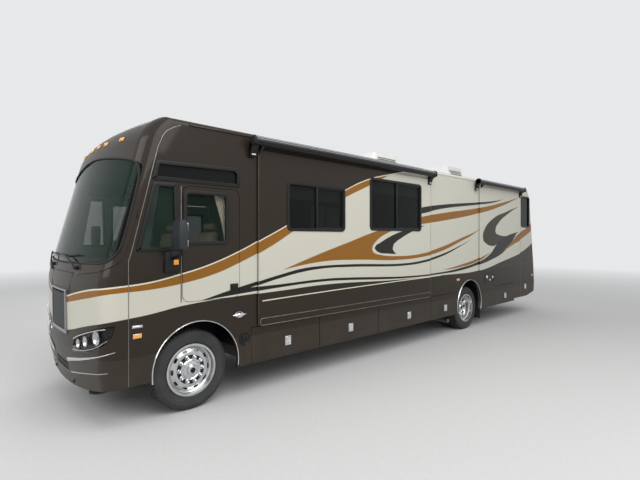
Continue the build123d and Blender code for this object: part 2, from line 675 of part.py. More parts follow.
# Steering knuckles: fork, kingpin, spindle and a rearward steering arm
FORK_Z = 74.5
FORK_T = 25
for side in (1, -1):
    with BuildPart() as knuckle:
        with Locations((FRONT_X, side * KINGPIN_Y, AXLE_Z)):
            Cylinder(KINGPIN_R, 2 * FORK_Z + FORK_T)
        for fork_z in (AXLE_Z + FORK_Z, AXLE_Z - FORK_Z):
            with Locations((FRONT_X, side * KINGPIN_Y, fork_z)):
                Cylinder(BOSS_R, FORK_T)
            with Locations((FRONT_X, side * (KINGPIN_Y + 35), fork_z)):
                Box(80, 70, FORK_T)
        with Locations((FRONT_X, side * (KINGPIN_Y + 62), AXLE_Z)):
            Box(90, 24, 2 * FORK_Z + FORK_T)
        with Locations((FRONT_X, side * (KINGPIN_Y + 50 + SPINDLE_END) / 2, AXLE_Z)):
            Cylinder(SPINDLE_R, SPINDLE_END - KINGPIN_Y - 50, rotation=(90, 0, 0))
        with BuildSketch(Plane.XY.offset(AXLE_Z - FORK_Z - FORK_T / 2)):
            with BuildLine():
                Polyline((FRONT_X + 20, side * (KINGPIN_Y - 30)), (FRONT_X + 20, side * (KINGPIN_Y + 30)),
                         (FRONT_X - ARM_LENGTH, side * (KINGPIN_Y - 5)),
                         (FRONT_X - ARM_LENGTH, side * (KINGPIN_Y - 55)), close=True)
            make_face()
        extrude(amount=22)
    knuckle_name = f"knuckle_{SIDE_NAMES[side]}"
    knuckle.part.label = knuckle_name
    export_step(knuckle.part, f"parts/{knuckle_name}.step")

with BuildPart() as tie_rod:
    with BuildSketch(side_plane(840)):
        with Locations((FRONT_X - ARM_LENGTH + 10, AXLE_Z - 110)):
            Circle(15)
    extrude(amount=1680)
tie_rod.part.label = "tie_rod"
export_step(tie_rod.part, "parts/tie_rod.step")


def tyre_profile(x, y):
    """Half section of a road tyre: flat tread, bevelled shoulders and bulging walls down to the beads."""
    half = TYRE_W / 2
    with BuildSketch() as profile:
        with BuildLine():
            Line((x + BEAD_R, y - 86), (x + BEAD_R, y + 86))
            ThreePointArc((x + BEAD_R, y + 86), (x + 372, y + half), (x + 440, y + 108))
            Polyline((x + 440, y + 108), (x + TYRE_R, y + 88), (x + TYRE_R, y - 88), (x + 440, y - 108))
            ThreePointArc((x + 440, y - 108), (x + 372, y - half), (x + BEAD_R, y - 86))
        make_face()
    return profile.sketch


# Rim barrel, then the wheel disc: radius, distance from the wheel's middle
BARREL = [(BEAD_R, -104), (RIM_LIP_R, -106), (RIM_LIP_R, -115), (276, -115), (270, -60), (250, -45),
          (250, 45), (270, 60), (276, 115), (RIM_LIP_R, 115), (RIM_LIP_R, 106), (BEAD_R, 104),
          (BEAD_R, 60), (262, 35), (262, -35), (BEAD_R, -60)]
DISC = [(256, 22), (256, 48), (238, 66), (204, 82), (120, 82), (120, 68), (196, 68), (226, 52), (240, 22)]
# Closed hubs by axle: the front from its disc, the rear across both discs
FRONT_HUB = [(SPINDLE_R + 1, 42), (124, 42), (124, 88), (90, 96), (62, 104), (60, 128), (52, 136), (0, 136),
             (0, 126), (46, 126), (46, 100), (SPINDLE_R + 1, 100)]
REAR_HUB = [(SHAFT_R + 1, -88), (150, -88), (150, 88), (84, 92), (80, 142), (68, 156), (0, 156), (0, 146),
            (54, 146), (54, 116), (SHAFT_R + 1, 116)]
HAND_HOLE_R = 221
HAND_HOLES = 10


def rim_profile(x, y, facing):
    """Half section of a rim whose disc stands towards the side that it faces."""
    with BuildSketch() as profile:
        for outline in (BARREL, DISC):
            with BuildLine():
                Polyline(*[(x + radius, y + facing * out) for radius, out in outline], close=True)
            make_face()
    return profile.sketch


# Wheels: name, distance along X, side, tyre places with the way each disc faces, middle of the hub, hub
WHEELS = []
for side in (1, -1):
    WHEELS.append(("front", FRONT_X, side, [(OUTER_WHEEL_Y, 1)], OUTER_WHEEL_Y, FRONT_HUB))
    WHEELS.append(("rear", REAR_X, side, [(OUTER_WHEEL_Y, -1), (INNER_WHEEL_Y, 1)],
                   (OUTER_WHEEL_Y + INNER_WHEEL_Y) / 2, REAR_HUB))
for axle_name, x, side, places, hub_y, hub in WHEELS:
    axle_line = Axis((x, 0, TYRE_R), (0, 1, 0))
    with BuildPart() as tyres:
        with BuildSketch(Plane.XY.offset(TYRE_R)):
            for y, facing in places:
                add(tyre_profile(x, side * y))
        revolve(axis=axle_line)
    with BuildPart() as rims:
        with BuildSketch(Plane.XY.offset(TYRE_R)):
            for y, facing in places:
                add(rim_profile(x, side * y, side * facing))
            with BuildLine():
                Polyline(*[(x + radius, side * (hub_y + out)) for radius, out in hub], close=True)
            make_face()
        revolve(axis=axle_line)
        with BuildSketch(side_plane(side * hub_y + 300)):
            with Locations((x, TYRE_R)):
                with PolarLocations(HAND_HOLE_R, HAND_HOLES):
                    SlotOverall(62, 29, rotation=90)
        extrude(amount=600, mode=Mode.SUBTRACT)
    tyre_name = f"{axle_name}_tyre_{SIDE_NAMES[side]}"
    rim_name = f"{axle_name}_rim_{SIDE_NAMES[side]}"
    tyres.part.label = tyre_name
    rims.part.label = rim_name
    export_step(tyres.part, f"parts/{tyre_name}.step")
    export_step(rims.part, f"parts/{rim_name}.step")

# Hitch receiver: a square socket on a cross tube, hung from the rails
HITCH_X = ahead(-9870)
HITCH_END = ahead(-10140)
HITCH_Z = 480
SOCKET = 51
SOCKET_OUT = 64
PIN_R = 8
with BuildPart() as hitch_receiver:
    with Locations((HITCH_X, 0, HITCH_Z)):
        Box(60, 2 * RAIL_OUT, 60)
    for side in (1, -1):
        with Locations((HITCH_X, side * (RAIL_OUT + RAIL_IN) / 2, (HITCH_Z + RAIL_LOW) / 2)):
            Box(90, 60, RAIL_LOW - HITCH_Z)
    for width, length, mode in ((SOCKET_OUT, 250, Mode.ADD), (SOCKET, 230, Mode.SUBTRACT)):
        with BuildSketch(Plane.YZ.offset(HITCH_END)):
            with Locations((0, HITCH_Z)):
                Rectangle(width, width)
        extrude(amount=length, mode=mode)
    with BuildSketch(side_plane(SOCKET_OUT)):
        with Locations((HITCH_END + 60, HITCH_Z)):
            Circle(PIN_R)
    extrude(amount=2 * SOCKET_OUT, mode=Mode.SUBTRACT)
hitch_receiver.part.label = "hitch_receiver"
export_step(hitch_receiver.part, "parts/hitch_receiver.step")

# Tank, exhaust and levelling jacks under the frame
with BuildPart() as fuel_tank:
    with Locations((ahead(-7880), 0, 640)):
        Box(1200, 660, 280)
    fillet(fuel_tank.edges().filter_by(Axis.X), 50)
fuel_tank.part.label = "fuel_tank"
export_step(fuel_tank.part, "parts/fuel_tank.step")

EXHAUST_R = 38
EXHAUST_Y = 170
with BuildPart() as exhaust:
    with BuildLine() as pipe_run:
        FilletPolyline((ahead(-500), EXHAUST_Y, 480), (ahead(-4950), EXHAUST_Y, 480),
                       (ahead(-5300), EXHAUST_Y, 300), (ahead(-5600), 500, 286), (ahead(-5600), 1215, 286),
                       radius=[150, 120, 120])
    with BuildSketch(Plane.YZ.offset(ahead(-500))):
        with Locations((EXHAUST_Y, 480)):
            Circle(EXHAUST_R)
    sweep(path=pipe_run.wires()[0])
    with BuildSketch(Plane.YZ.offset(ahead(-3600))):
        with Locations((EXHAUST_Y + 10, 480)):
            Ellipse(110, 90)
    extrude(amount=900)
exhaust.part.label = "exhaust"
export_step(exhaust.part, "parts/exhaust.step")

JACKS = [(740, 290), (740, -290), (-4980, 290), (-4980, -290)]
with BuildPart() as levelling_jacks:
    for x, y in JACKS:
        with Locations((ahead(x), y, 480)):
            Cylinder(45, 400)
        with Locations((ahead(x), y, 230)):
            Cylinder(26, 140)
        with Locations((ahead(x), y, 166)):
            Cylinder(110, 16)
        with Locations((ahead(x), y + (31 if y > 0 else -31), 640)):
            Box(140, 62, 70)
levelling_jacks.part.label = "levelling_jacks"
export_step(levelling_jacks.part, "parts/levelling_jacks.step")

# Mud flaps behind the rear wheels: place, middle across, middle height, width, height
MUD_FLAP = (-6975, 920, 385, 600, 450)
with BuildPart() as mud_flaps:
    flap_x, flap_y, flap_z, flap_width, flap_height = MUD_FLAP
    with Locations([(ahead(flap_x), side * flap_y, flap_z) for side in (1, -1)]):
        Box(10, flap_width, flap_height)
mud_flaps.part.label = "mud_flaps"
export_step(mud_flaps.part, "parts/mud_flaps.step")

# Mirrors on bent arms, with heads that taper towards both ends
MIRROR_X = ahead(292)
MIRROR_Y = 1510
# Mirror head sections: height, depth, width
MIRROR_HEAD = [(1866, 70, 190), (2010, 96, 224), (2169, 76, 200)]
with BuildPart() as mirrors:
    for side in (1, -1):
        with Locations((MIRROR_X, side * (HALF_WIDTH + 14), 1725)):
            Box(140, 28, 210)
        with BuildLine() as arm:
            FilletPolyline((MIRROR_X, side * (HALF_WIDTH + 10), 1760), (MIRROR_X, side * MIRROR_Y, 1790),
                           (MIRROR_X, side * MIRROR_Y, 1900), radius=60)
        with BuildSketch(side_plane(side * (HALF_WIDTH + 10))):
            with Locations((MIRROR_X, 1760)):
                Circle(16)
        sweep(path=arm.wires()[0])
        for head_z, head_depth, head_width in MIRROR_HEAD:
            with BuildSketch(Plane.XY.offset(head_z)):
                with Locations((MIRROR_X, side * MIRROR_Y)):
                    RectangleRounded(head_depth, head_width, 30)
        loft()
mirrors.part.label = "mirrors"
export_step(mirrors.part, "parts/mirrors.step")

# Cab inside: dash with the steering column, and two captain's chairs
DASH_Z = 1420
DASH_HEIGHT = 270
DASH_FACE = 380
DRIVER_Y = 560
STEERING_WHEEL_R = 220
COLUMN_FOOT = (ahead(420), DRIVER_Y, 1560)
COLUMN_HEAD = (ahead(205), DRIVER_Y, 1707)
COLUMN_LEAN = (-190, 0, 130)
with BuildPart() as dashboard:
    with BuildSketch(Plane.XY.offset(DASH_Z)):
        with Locations((ahead(DASH_FACE + 380), 0)):
            Rectangle(760, 2 * (HALF_WIDTH - 80))
    extrude(amount=DASH_HEIGHT)
    add(nose_solid(CAP_SKIN + 4), mode=Mode.INTERSECT)
    with BuildLine() as column:
        Line(COLUMN_FOOT, COLUMN_HEAD)
    with BuildSketch(Plane(origin=COLUMN_FOOT, z_dir=COLUMN_LEAN)):
        Circle(40)
    sweep(path=column.wires()[0])
    with BuildSketch(Plane(origin=(ahead(215), DRIVER_Y, 1700), z_dir=COLUMN_LEAN)):
        Circle(STEERING_WHEEL_R)
        Circle(STEERING_WHEEL_R - 35, mode=Mode.SUBTRACT)
        Rectangle(400, 50)
        Circle(60)
    extrude(amount=30)
dashboard.part.label = "dashboard"
export_step(dashboard.part, "parts/dashboard.step")

SEAT_Y = 600
SEAT_WIDTH = 520
PEDESTAL = 360
PEDESTAL_HEIGHT = 240
with BuildPart() as cab_seats:
    for side in (1, -1):
        with Locations((ahead(-180), side * SEAT_Y, CAB_FLOOR_Z + PEDESTAL_HEIGHT / 2)):
            Box(PEDESTAL, PEDESTAL, PEDESTAL_HEIGHT)
        with BuildSketch(side_plane(side * SEAT_Y + SEAT_WIDTH / 2)):
            with BuildLine():
                FilletPolyline((ahead(80), 1400), (ahead(80), 1540), (ahead(-330), 1520), (ahead(-480), 2180),
                               (ahead(-590), 2150), (ahead(-460), 1400), (ahead(0), 1400),
                               radius=[60, 40, 50, 40, 60])
                Line((ahead(0), 1400), (ahead(80), 1400))
            make_face()
        extrude(amount=SEAT_WIDTH)
cab_seats.part.label = "cab_seats"
export_step(cab_seats.part, "parts/cab_seats.step")

# Roof air conditioners, seated on the crown: middle, length, width, height
ROOF_UNITS = [(-4750, 1050, 680, 385), (-7500, 1000, 700, 430)]
UNIT_SEAT = 12
with BuildPart() as roof_units:
    for x, length, width, height in ROOF_UNITS:
        with BuildSketch(Plane.XY.offset(CROWN_Z - UNIT_SEAT)):
            with Locations((ahead(x), 0)):
                RectangleRounded(length, width, 90)
        with BuildSketch(Plane.XY.offset(CROWN_Z + height)):
            with Locations((ahead(x - 40), 0)):
                RectangleRounded(length - 260, width - 160, 80)
        loft()
    add(roof.part, mode=Mode.SUBTRACT)
roof_units.part.label = "roof_units"
export_step(roof_units.part, "parts/roof_units.step")

# Rear ladder, following the back of the coach and hooked over the roof
LADDER_Y = -640
LADDER_HALF = 190
LADDER_TUBE = 14
LADDER_RUN = [(-10176, 1300), (-9996, 2480), (-9887, 3173), (-9605, 3410), (-9400, 3420), (-9330, 3352)]
with BuildPart() as rear_ladder:
    for y in (LADDER_Y - LADDER_HALF, LADDER_Y + LADDER_HALF):
        with BuildLine() as rail:
            FilletPolyline(*[(ahead(x), y, z) for x, z in LADDER_RUN], radius=[400, 250, 200, 30])
        with BuildSketch(Plane(origin=(ahead(-10176), y, 1300), z_dir=(180, 0, 1180))):
            Circle(LADDER_TUBE)
        sweep(path=rail.wires()[0])
    for rung in range(7):
        z = 1400 + 270 * rung
        x = -10176 + (z - 1300) * 180 / 1180 if z < 2480 else -9996 + (z - 2480) * 109 / 693
        with BuildSketch(side_plane(LADDER_Y + LADDER_HALF)):
            with Locations((ahead(x), z)):
                Circle(LADDER_TUBE - 3)
        extrude(amount=2 * LADDER_HALF)
    with BuildSketch(Plane.YZ.offset(ahead(-10176))):
        with Locations([(LADDER_Y + side * LADDER_HALF, 1350) for side in (1, -1)]):
            Circle(LADDER_TUBE - 4)
    extrude(amount=100)
    with BuildSketch(Plane.YZ.offset(ahead(-10000))):
        with Locations([(LADDER_Y + side * LADDER_HALF, 2430) for side in (1, -1)]):
            Circle(LADDER_TUBE - 4)
    extrude(amount=100)
    add(TAIL_SKIN, mode=Mode.SUBTRACT)
rear_ladder.part.label = "rear_ladder"
export_step(rear_ladder.part, "parts/rear_ladder.step")

# Patio awning rolled up along the other side
AWNING = (-790, -5690, 3110)
with BuildPart() as patio_awning:
    awning_front, awning_rear, awning_z = AWNING
    with BuildSketch(Plane.YZ.offset(ahead(awning_rear))):
        with Locations((-1360, awning_z)):
            Circle(58)
    extrude(amount=awning_front - awning_rear)
    for arm_x in (awning_front - 30, awning_rear + 30):
        with Locations((ahead(arm_x), -(HALF_WIDTH + 22), 2110)):
            Box(50, 44, 2020)
patio_awning.part.label = "patio_awning"
export_step(patio_awning.part, "parts/patio_awning.step")
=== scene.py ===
import math

import bpy
from bpy.props import FloatProperty, FloatVectorProperty, IntProperty, PointerProperty
from mathutils import Matrix, Vector


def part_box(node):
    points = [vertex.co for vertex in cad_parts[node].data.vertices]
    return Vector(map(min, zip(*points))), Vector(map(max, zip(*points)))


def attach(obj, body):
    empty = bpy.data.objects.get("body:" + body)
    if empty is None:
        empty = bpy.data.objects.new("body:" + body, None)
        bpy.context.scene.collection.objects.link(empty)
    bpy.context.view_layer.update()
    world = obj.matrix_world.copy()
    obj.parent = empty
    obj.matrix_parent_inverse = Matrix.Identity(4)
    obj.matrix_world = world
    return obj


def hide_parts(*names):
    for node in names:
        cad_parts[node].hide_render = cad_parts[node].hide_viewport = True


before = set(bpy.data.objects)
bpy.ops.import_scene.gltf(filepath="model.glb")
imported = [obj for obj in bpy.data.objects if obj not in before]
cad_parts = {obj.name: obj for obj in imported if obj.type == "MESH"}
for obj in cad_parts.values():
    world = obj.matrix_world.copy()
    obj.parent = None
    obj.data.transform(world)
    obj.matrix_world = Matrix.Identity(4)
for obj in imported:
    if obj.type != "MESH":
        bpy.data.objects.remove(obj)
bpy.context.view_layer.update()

bl_info = {
    "name": "Motorhome Dresser",
    "version": (1, 0, 0),
    "blender": (4, 5, 0),
    "location": "View3D > Sidebar > Motorhome",
    "description": "Paint, glass, trim, tyres and cab fittings of a motorhome",
    "category": "Object",
}

# Places taken from the frame, in metres
FRONT_X = sum(corner.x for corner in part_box("front_rim_left")) / 2
REAR_X = sum(corner.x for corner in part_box("rear_rim_left")) / 2
WHEEL_Z = sum(corner.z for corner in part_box("front_tyre_left")) / 2
WALL_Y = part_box("left_wall")[1].y
SLIDE_Y = WALL_Y + 0.028
SIDES = (("left", 1), ("right", -1))
WHEEL_BODIES = {"front": "front_wheel_", "rear": "rear_wheels_"}
BACKDROP = (0.8, 0.81, 0.82, 1)
BACKDROP_SHARE = 0.5  # of the backdrop's light in the light that falls on the coach
LINING_Y = 1.239  # the walls' inner side shows its lining within this distance from the middle
ROLLER_Y, ROLLER_Z = 1.325, 3.0  # the toppers' dark rollers lie further out and higher
CROWN_Z = 3.318  # the pale roof lies higher

# Painted shapes, as edges that run from front to rear: metres ahead of the front axle, height
UPPER_EDGE = [(2.4, 1.26), (1.36, 1.45), (0.94, 1.487), (0.52, 1.52), (0.17, 1.59), (-0.144, 1.67),
              (-0.594, 1.835), (-0.866, 1.958), (-1.289, 2.153), (-2.388, 2.699), (-2.976, 2.937),
              (-3.584, 3.085), (-4.03, 3.179), (-4.5, 3.27)]
GOLD_EDGE = [(2.4, 1.2), (1.36, 1.361), (0.94, 1.418), (0.52, 1.436), (0.173, 1.475), (-0.242, 1.562),
             (-0.594, 1.686), (-1.019, 1.868), (-1.398, 2.069), (-2.388, 2.582), (-2.976, 2.825), (-3.6, 3.09)]
SKIRT_EDGE = [(2.4, 0.9), (2.0, 0.953), (1.317, 1.082), (0.94, 1.138), (0.52, 1.177), (0.164, 1.228),
              (-0.5, 1.268), (-1.183, 1.285), (-2.027, 1.306), (-3.68, 1.26), (-5.21, 1.248),
              (-6.784, 1.262), (-7.933, 1.423), (-9.227, 1.642), (-10.067, 1.908), (-11.5, 2.2)]
PINSTRIPE = [(-0.9, 1.178), (-1.8, 1.2), (-3.68, 1.232), (-5.21, 1.248)]

# Swooshes: paint, upper edge, lower edge, and the edges of a bite taken out of it
SWOOSHES = [
    ("gold",
     [(-1.242, 1.562), (-1.853, 1.743), (-2.594, 1.942), (-3.048, 2.066), (-4.43, 2.368), (-5.21, 2.475),
      (-6.74, 2.655), (-7.925, 2.84), (-8.89, 3.03)],
     [(-1.242, 1.56), (-1.992, 1.645), (-2.692, 1.644), (-3.75, 1.604), (-4.585, 1.64), (-5.212, 1.724),
      (-6.017, 1.923), (-6.46, 2.044), (-6.976, 2.238), (-8.89, 2.9)],
     [(-3.07, 1.8), (-3.09, 1.86), (-3.51, 2.082), (-4.44, 2.236), (-5.21, 2.322), (-6.74, 2.534),
      (-7.926, 2.766), (-8.89, 3.028)],
     [(-3.07, 1.8), (-3.11, 1.75), (-3.28, 1.706), (-3.75, 1.672), (-4.46, 1.692), (-5.21, 1.804),
      (-6.017, 1.987), (-6.74, 2.159), (-6.976, 2.242), (-8.89, 2.89)]),
    ("black",
     [(-3.137, 1.82), (-3.165, 1.86), (-3.26, 1.9), (-3.509, 1.998), (-3.867, 2.1), (-4.6, 2.222)],
     [(-3.137, 1.82), (-3.165, 1.785), (-3.25, 1.745), (-3.471, 1.722), (-3.74, 1.708), (-4.6, 1.7)],
     [(-3.62, 1.8), (-3.64, 1.86), (-3.7, 1.91), (-3.867, 1.985), (-4.165, 2.094), (-4.6, 2.218)],
     [(-3.62, 1.8), (-3.65, 1.76), (-3.74, 1.708), (-4.0, 1.69), (-4.6, 1.69)]),
    ("black",
     [(-3.4, 2.33), (-4.4, 2.54), (-5.21, 2.645), (-6.74, 2.782), (-7.39, 2.843), (-8.04, 2.935)],
     [(-3.4, 2.328), (-4.4, 2.425), (-5.21, 2.562), (-6.74, 2.73), (-7.39, 2.806), (-8.04, 2.933)]),
    ("black",
     [(-0.057, 1.262), (-0.459, 1.355), (-0.838, 1.431), (-1.183, 1.498), (-1.584, 1.562), (-2.027, 1.583),
      (-2.518, 1.58), (-4.015, 1.539), (-4.56, 1.571), (-5.209, 1.661), (-5.85, 1.8), (-6.461, 1.968)],
     [(-0.057, 1.26), (-0.5, 1.31), (-0.734, 1.361), (-1.183, 1.452), (-1.584, 1.514), (-2.027, 1.544),
      (-2.518, 1.539), (-4.015, 1.498), (-4.56, 1.528), (-5.209, 1.616), (-5.85, 1.775), (-6.461, 1.966)]),
    ("black",
     [(-0.057, 1.262), (-0.5, 1.34), (-0.734, 1.361), (-1.184, 1.371), (-2.027, 1.39), (-2.518, 1.376),
      (-3.363, 1.333), (-4.015, 1.305), (-5.214, 1.309), (-6.019, 1.362), (-6.784, 1.465), (-7.282, 1.612),
      (-7.626, 1.825), (-7.983, 1.985), (-8.8, 2.136)],
     [(-0.057, 1.26), (-0.5, 1.29), (-1.183, 1.33), (-2.027, 1.353), (-2.518, 1.337), (-3.363, 1.294),
      (-4.015, 1.272), (-5.214, 1.275), (-5.968, 1.304), (-6.792, 1.395), (-7.387, 1.49), (-7.932, 1.62),
      (-8.397, 1.838), (-8.8, 2.134)]),
    ("taupe",
     [(-6.937, 2.012), (-6.95, 2.09), (-7.02, 2.19), (-7.383, 2.416), (-8.214, 2.643), (-8.888, 2.793)],
     [(-6.937, 2.012), (-6.955, 1.95), (-7.077, 1.872), (-7.386, 1.804), (-7.626, 1.832), (-7.983, 1.97),
      (-8.888, 2.13)],
     [(-7.57, 2.15), (-7.59, 2.22), (-7.705, 2.329), (-8.215, 2.568), (-8.888, 2.79)],
     [(-7.57, 2.15), (-7.6, 2.11), (-7.706, 2.074), (-8.159, 2.04), (-8.888, 2.15)]),
    ("gold",
     [(-5.3, 1.352), (-6.019, 1.427), (-6.744, 1.533), (-7.32, 1.66)],
     [(-5.3, 1.35), (-6.019, 1.38), (-6.744, 1.475), (-7.32, 1.658)]),
    ("gold",
     [(-7.98, 1.668), (-8.518, 1.914), (-8.829, 2.069), (-9.494, 2.264), (-9.989, 2.498), (-11.2, 2.9)],
     [(-7.98, 1.664), (-8.519, 1.811), (-9.225, 1.991), (-9.991, 2.273), (-11.2, 2.898)]),
]

# Windows: place along the coach at the front, at the rear, low edge, high edge, dividers
DOOR_WINDOW = (0.137, -0.415, 1.915, 2.51, ())
ENTRY_WINDOW = (-0.96, -1.42, 1.7, 2.4, ())
SLIDE_WINDOWS = [(-1.31, -2.42, 2.09, 2.74, (-1.85,)), (-3.02, -4.47, 2.12, 2.96, (-3.73,))]
RIGHT_WINDOWS = [DOOR_WINDOW, (-2.15, -3.35, 2.09, 2.74, (-2.75,)), (-4.0, -5.0, 2.09, 2.74, (-4.5,)),
                 (-7.15, -8.35, 2.12, 2.74, (-7.75,))]
TAIL_WINDOW = (-9.13, -9.66, 2.28, 3.08, ())
QUARTER_FRAME = [(0.655, 1.855), (0.21, 1.85), (0.232, 2.57), (0.475, 2.57)]
QUARTER_PANE = [(0.65, 1.86), (0.53, 1.86), (0.415, 2.565), (0.47, 2.565)]
BROW_WINDOW = [(0.49, 2.615), (0.44, 2.805), (-0.5, 2.825), (-0.57, 2.775), (-0.57, 2.615)]

# Nose and tail: each plan is a bow with round corners (turn of the bow, place and radius of the corners)
NOSE_PLAN = (math.radians(10), 1.08, 0.2)
TAIL_PLAN = (math.radians(3), WALL_Y - 0.18, 0.18)
NOSE_CORNERS = [(0.64, 1.085, 0.1406, 0.0151, 0.043), (1.5, 1.098, 0.0151, -0.2653, 0.124)]
NOSE_CHANGE, BROW_Z = 1.07, 3
BROW_CENTRE = (0.198, 2.867, 0.519)
TAIL_RUNS = [(0.44, 10.15), (0.74, 10.2), (1.305, 10.14), (2.9, 9.88)]  # height, reach behind the axle
TAIL_GROOVES = ((0.004, 1.305, 0.15), (0.009, 0.74, 0.06))  # depth, height, half width

# Lines on the nose: places across, heights
GLASS_EDGE = [(0.0, 2.941), (0.3, 2.925), (0.664, 2.885), (0.978, 2.838), (1.15, 2.80), (1.208, 2.763),
              (1.233, 2.705), (1.245, 2.606), (1.252, 2.348), (1.254, 2.095), (1.252, 1.9), (1.243, 1.83),
              (1.222, 1.779), (1.18, 1.737), (1.08, 1.717), (0.7, 1.708), (0.236, 1.702), (0.0, 1.7)]
CREASE = [(0.582, 1.598), (0.86, 1.624), (1.10, 1.648), (1.18, 1.668), (1.235, 1.7), (1.262, 1.745),
          (1.272, 1.80), (1.275, 1.9), (1.276, 2.2), (1.275, 2.6)]
LAMP_BROW = [(0.56, 0.885), (0.7, 0.94), (0.93, 1.003), (1.15, 1.057), (1.225, 1.07)]
LAMP_SILL = [(0.53, 0.765), (0.7, 0.785), (0.88, 0.812), (1.05, 0.855), (1.16, 0.895), (1.235, 0.955)]
UPPER_STRIP = [(0.3, 0.612), (0.5, 0.65), (0.72, 0.69), (0.94, 0.737), (1.12, 0.78), (1.22, 0.81),
               (1.268, 0.835)]
LOWER_STRIP = [(0.38, 0.482), (0.62, 0.52), (0.906, 0.57), (1.12, 0.606), (1.23, 0.628)]
CAP_SEAM = [(0.739, 0.46), (0.739, 1.74), (0.703, 1.86), (0.434, 2.955), (0.416, 3.0), (0.384, 3.08),
            (0.342, 3.14), (0.262, 3.195), (0.18, 3.23)]
TAIL_SEAM = [(-9.08, 0.47), (-9.08, 3.235)]

# Square latches on the storage doors: side, number, place ahead of the front axle, height
LATCHES = [("left", 1, -1.337, 0.6), ("left", 2, -2.588, 0.595), ("left", 3, -4.138, 0.59),
           ("left", 4, -5.384, 0.585), ("left", 5, -8.17, 0.58), ("right", 1, -2.6, 0.595),
           ("right", 2, -4.06, 0.59), ("right", 3, -5.3, 0.585), ("right", 4, -8.17, 0.58)]

# Section of a tyre from the bead to the tread: radius, distance from the middle
TYRE_HALF = [(0.286, 0.086), (0.300, 0.102), (0.318, 0.111), (0.324, 0.1155), (0.331, 0.114), (0.35, 0.1205),
             (0.372, 0.124), (0.394, 0.1225), (0.399, 0.1245), (0.405, 0.1215), (0.425, 0.115),
             (0.44, 0.108), (0.452, 0.0985), (0.4575, 0.088), (0.4582, 0.062)]
TREAD_R = 0.4584

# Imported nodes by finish
NODE_FINISHES = {
    "paint": ["left_wall", "right_wall", "front_cap", "rear_cap", "driver_door", "entry_door",
              "slide_out_front", "slide_out_rear", "roof"] + [
                  f"bay_door_{side}_{number}" for side, number, x, z in LATCHES],
    "windshield": ["windshield"],
    "cab_glass": ["driver_door_glass"],
    "tinted_glass": ["wall_glass", "entry_door_glass", "slide_out_front_glass"],
    # The fuel tank takes the frame's black as painted shade: it hangs in the shade under the coach.
    "frame_black": ["chassis_frame", "fuel_tank", "front_axle", "rear_axle", "tie_rod", "knuckle_left",
                    "knuckle_right", "hitch_receiver", "levelling_jacks"],
    "cast_iron": ["engine_block"],
    "grey_board": ["floor", "storage_bays", "entry_well"],
    "exhaust_steel": ["exhaust"],
    "white_moulding": ["roof_units"],
    "black_satin": ["grille", "wheel_housings"],
    "clear_lens": ["headlamps"],
    "red_lens": ["tail_lamps"],
    "cab_moulding": ["dashboard"],
    "seat_leather": ["cab_seats"],
    "slate_shell": ["mirrors"],
    "black_rubber": ["mud_flaps"],
    "satin_alloy": ["rear_ladder", "patio_awning"],
    "polished_alloy": ["front_rim_left", "front_rim_right", "rear_rim_left", "rear_rim_right"],
    "tyre": ["front_tyre_left", "front_tyre_right", "rear_tyre_left", "rear_tyre_right"],
}

# Material of each finish, by its key
FINISHES = {}


# Shader maths
def operation(name, swapped=False):
    """An operator that adds one kind of Math node."""
    def operate(self, other=0):
        first, second = (other, self) if swapped else (self, other)
        return self.graph.node("Math", {"operation": name}, {0: first, 1: second})
    return operate


class Value:
    """A value on a node socket, which adds Math nodes when it is used in an expression."""

    def __init__(self, graph, socket):
        self.graph, self.socket = graph, socket

    __add__ = __radd__ = operation("ADD")
    __mul__ = __rmul__ = operation("MULTIPLY")
    __sub__, __rsub__ = operation("SUBTRACT"), operation("SUBTRACT", swapped=True)
    __gt__, __lt__ = operation("GREATER_THAN"), operation("LESS_THAN")
    __abs__, either = operation("ABSOLUTE"), operation("MAXIMUM")


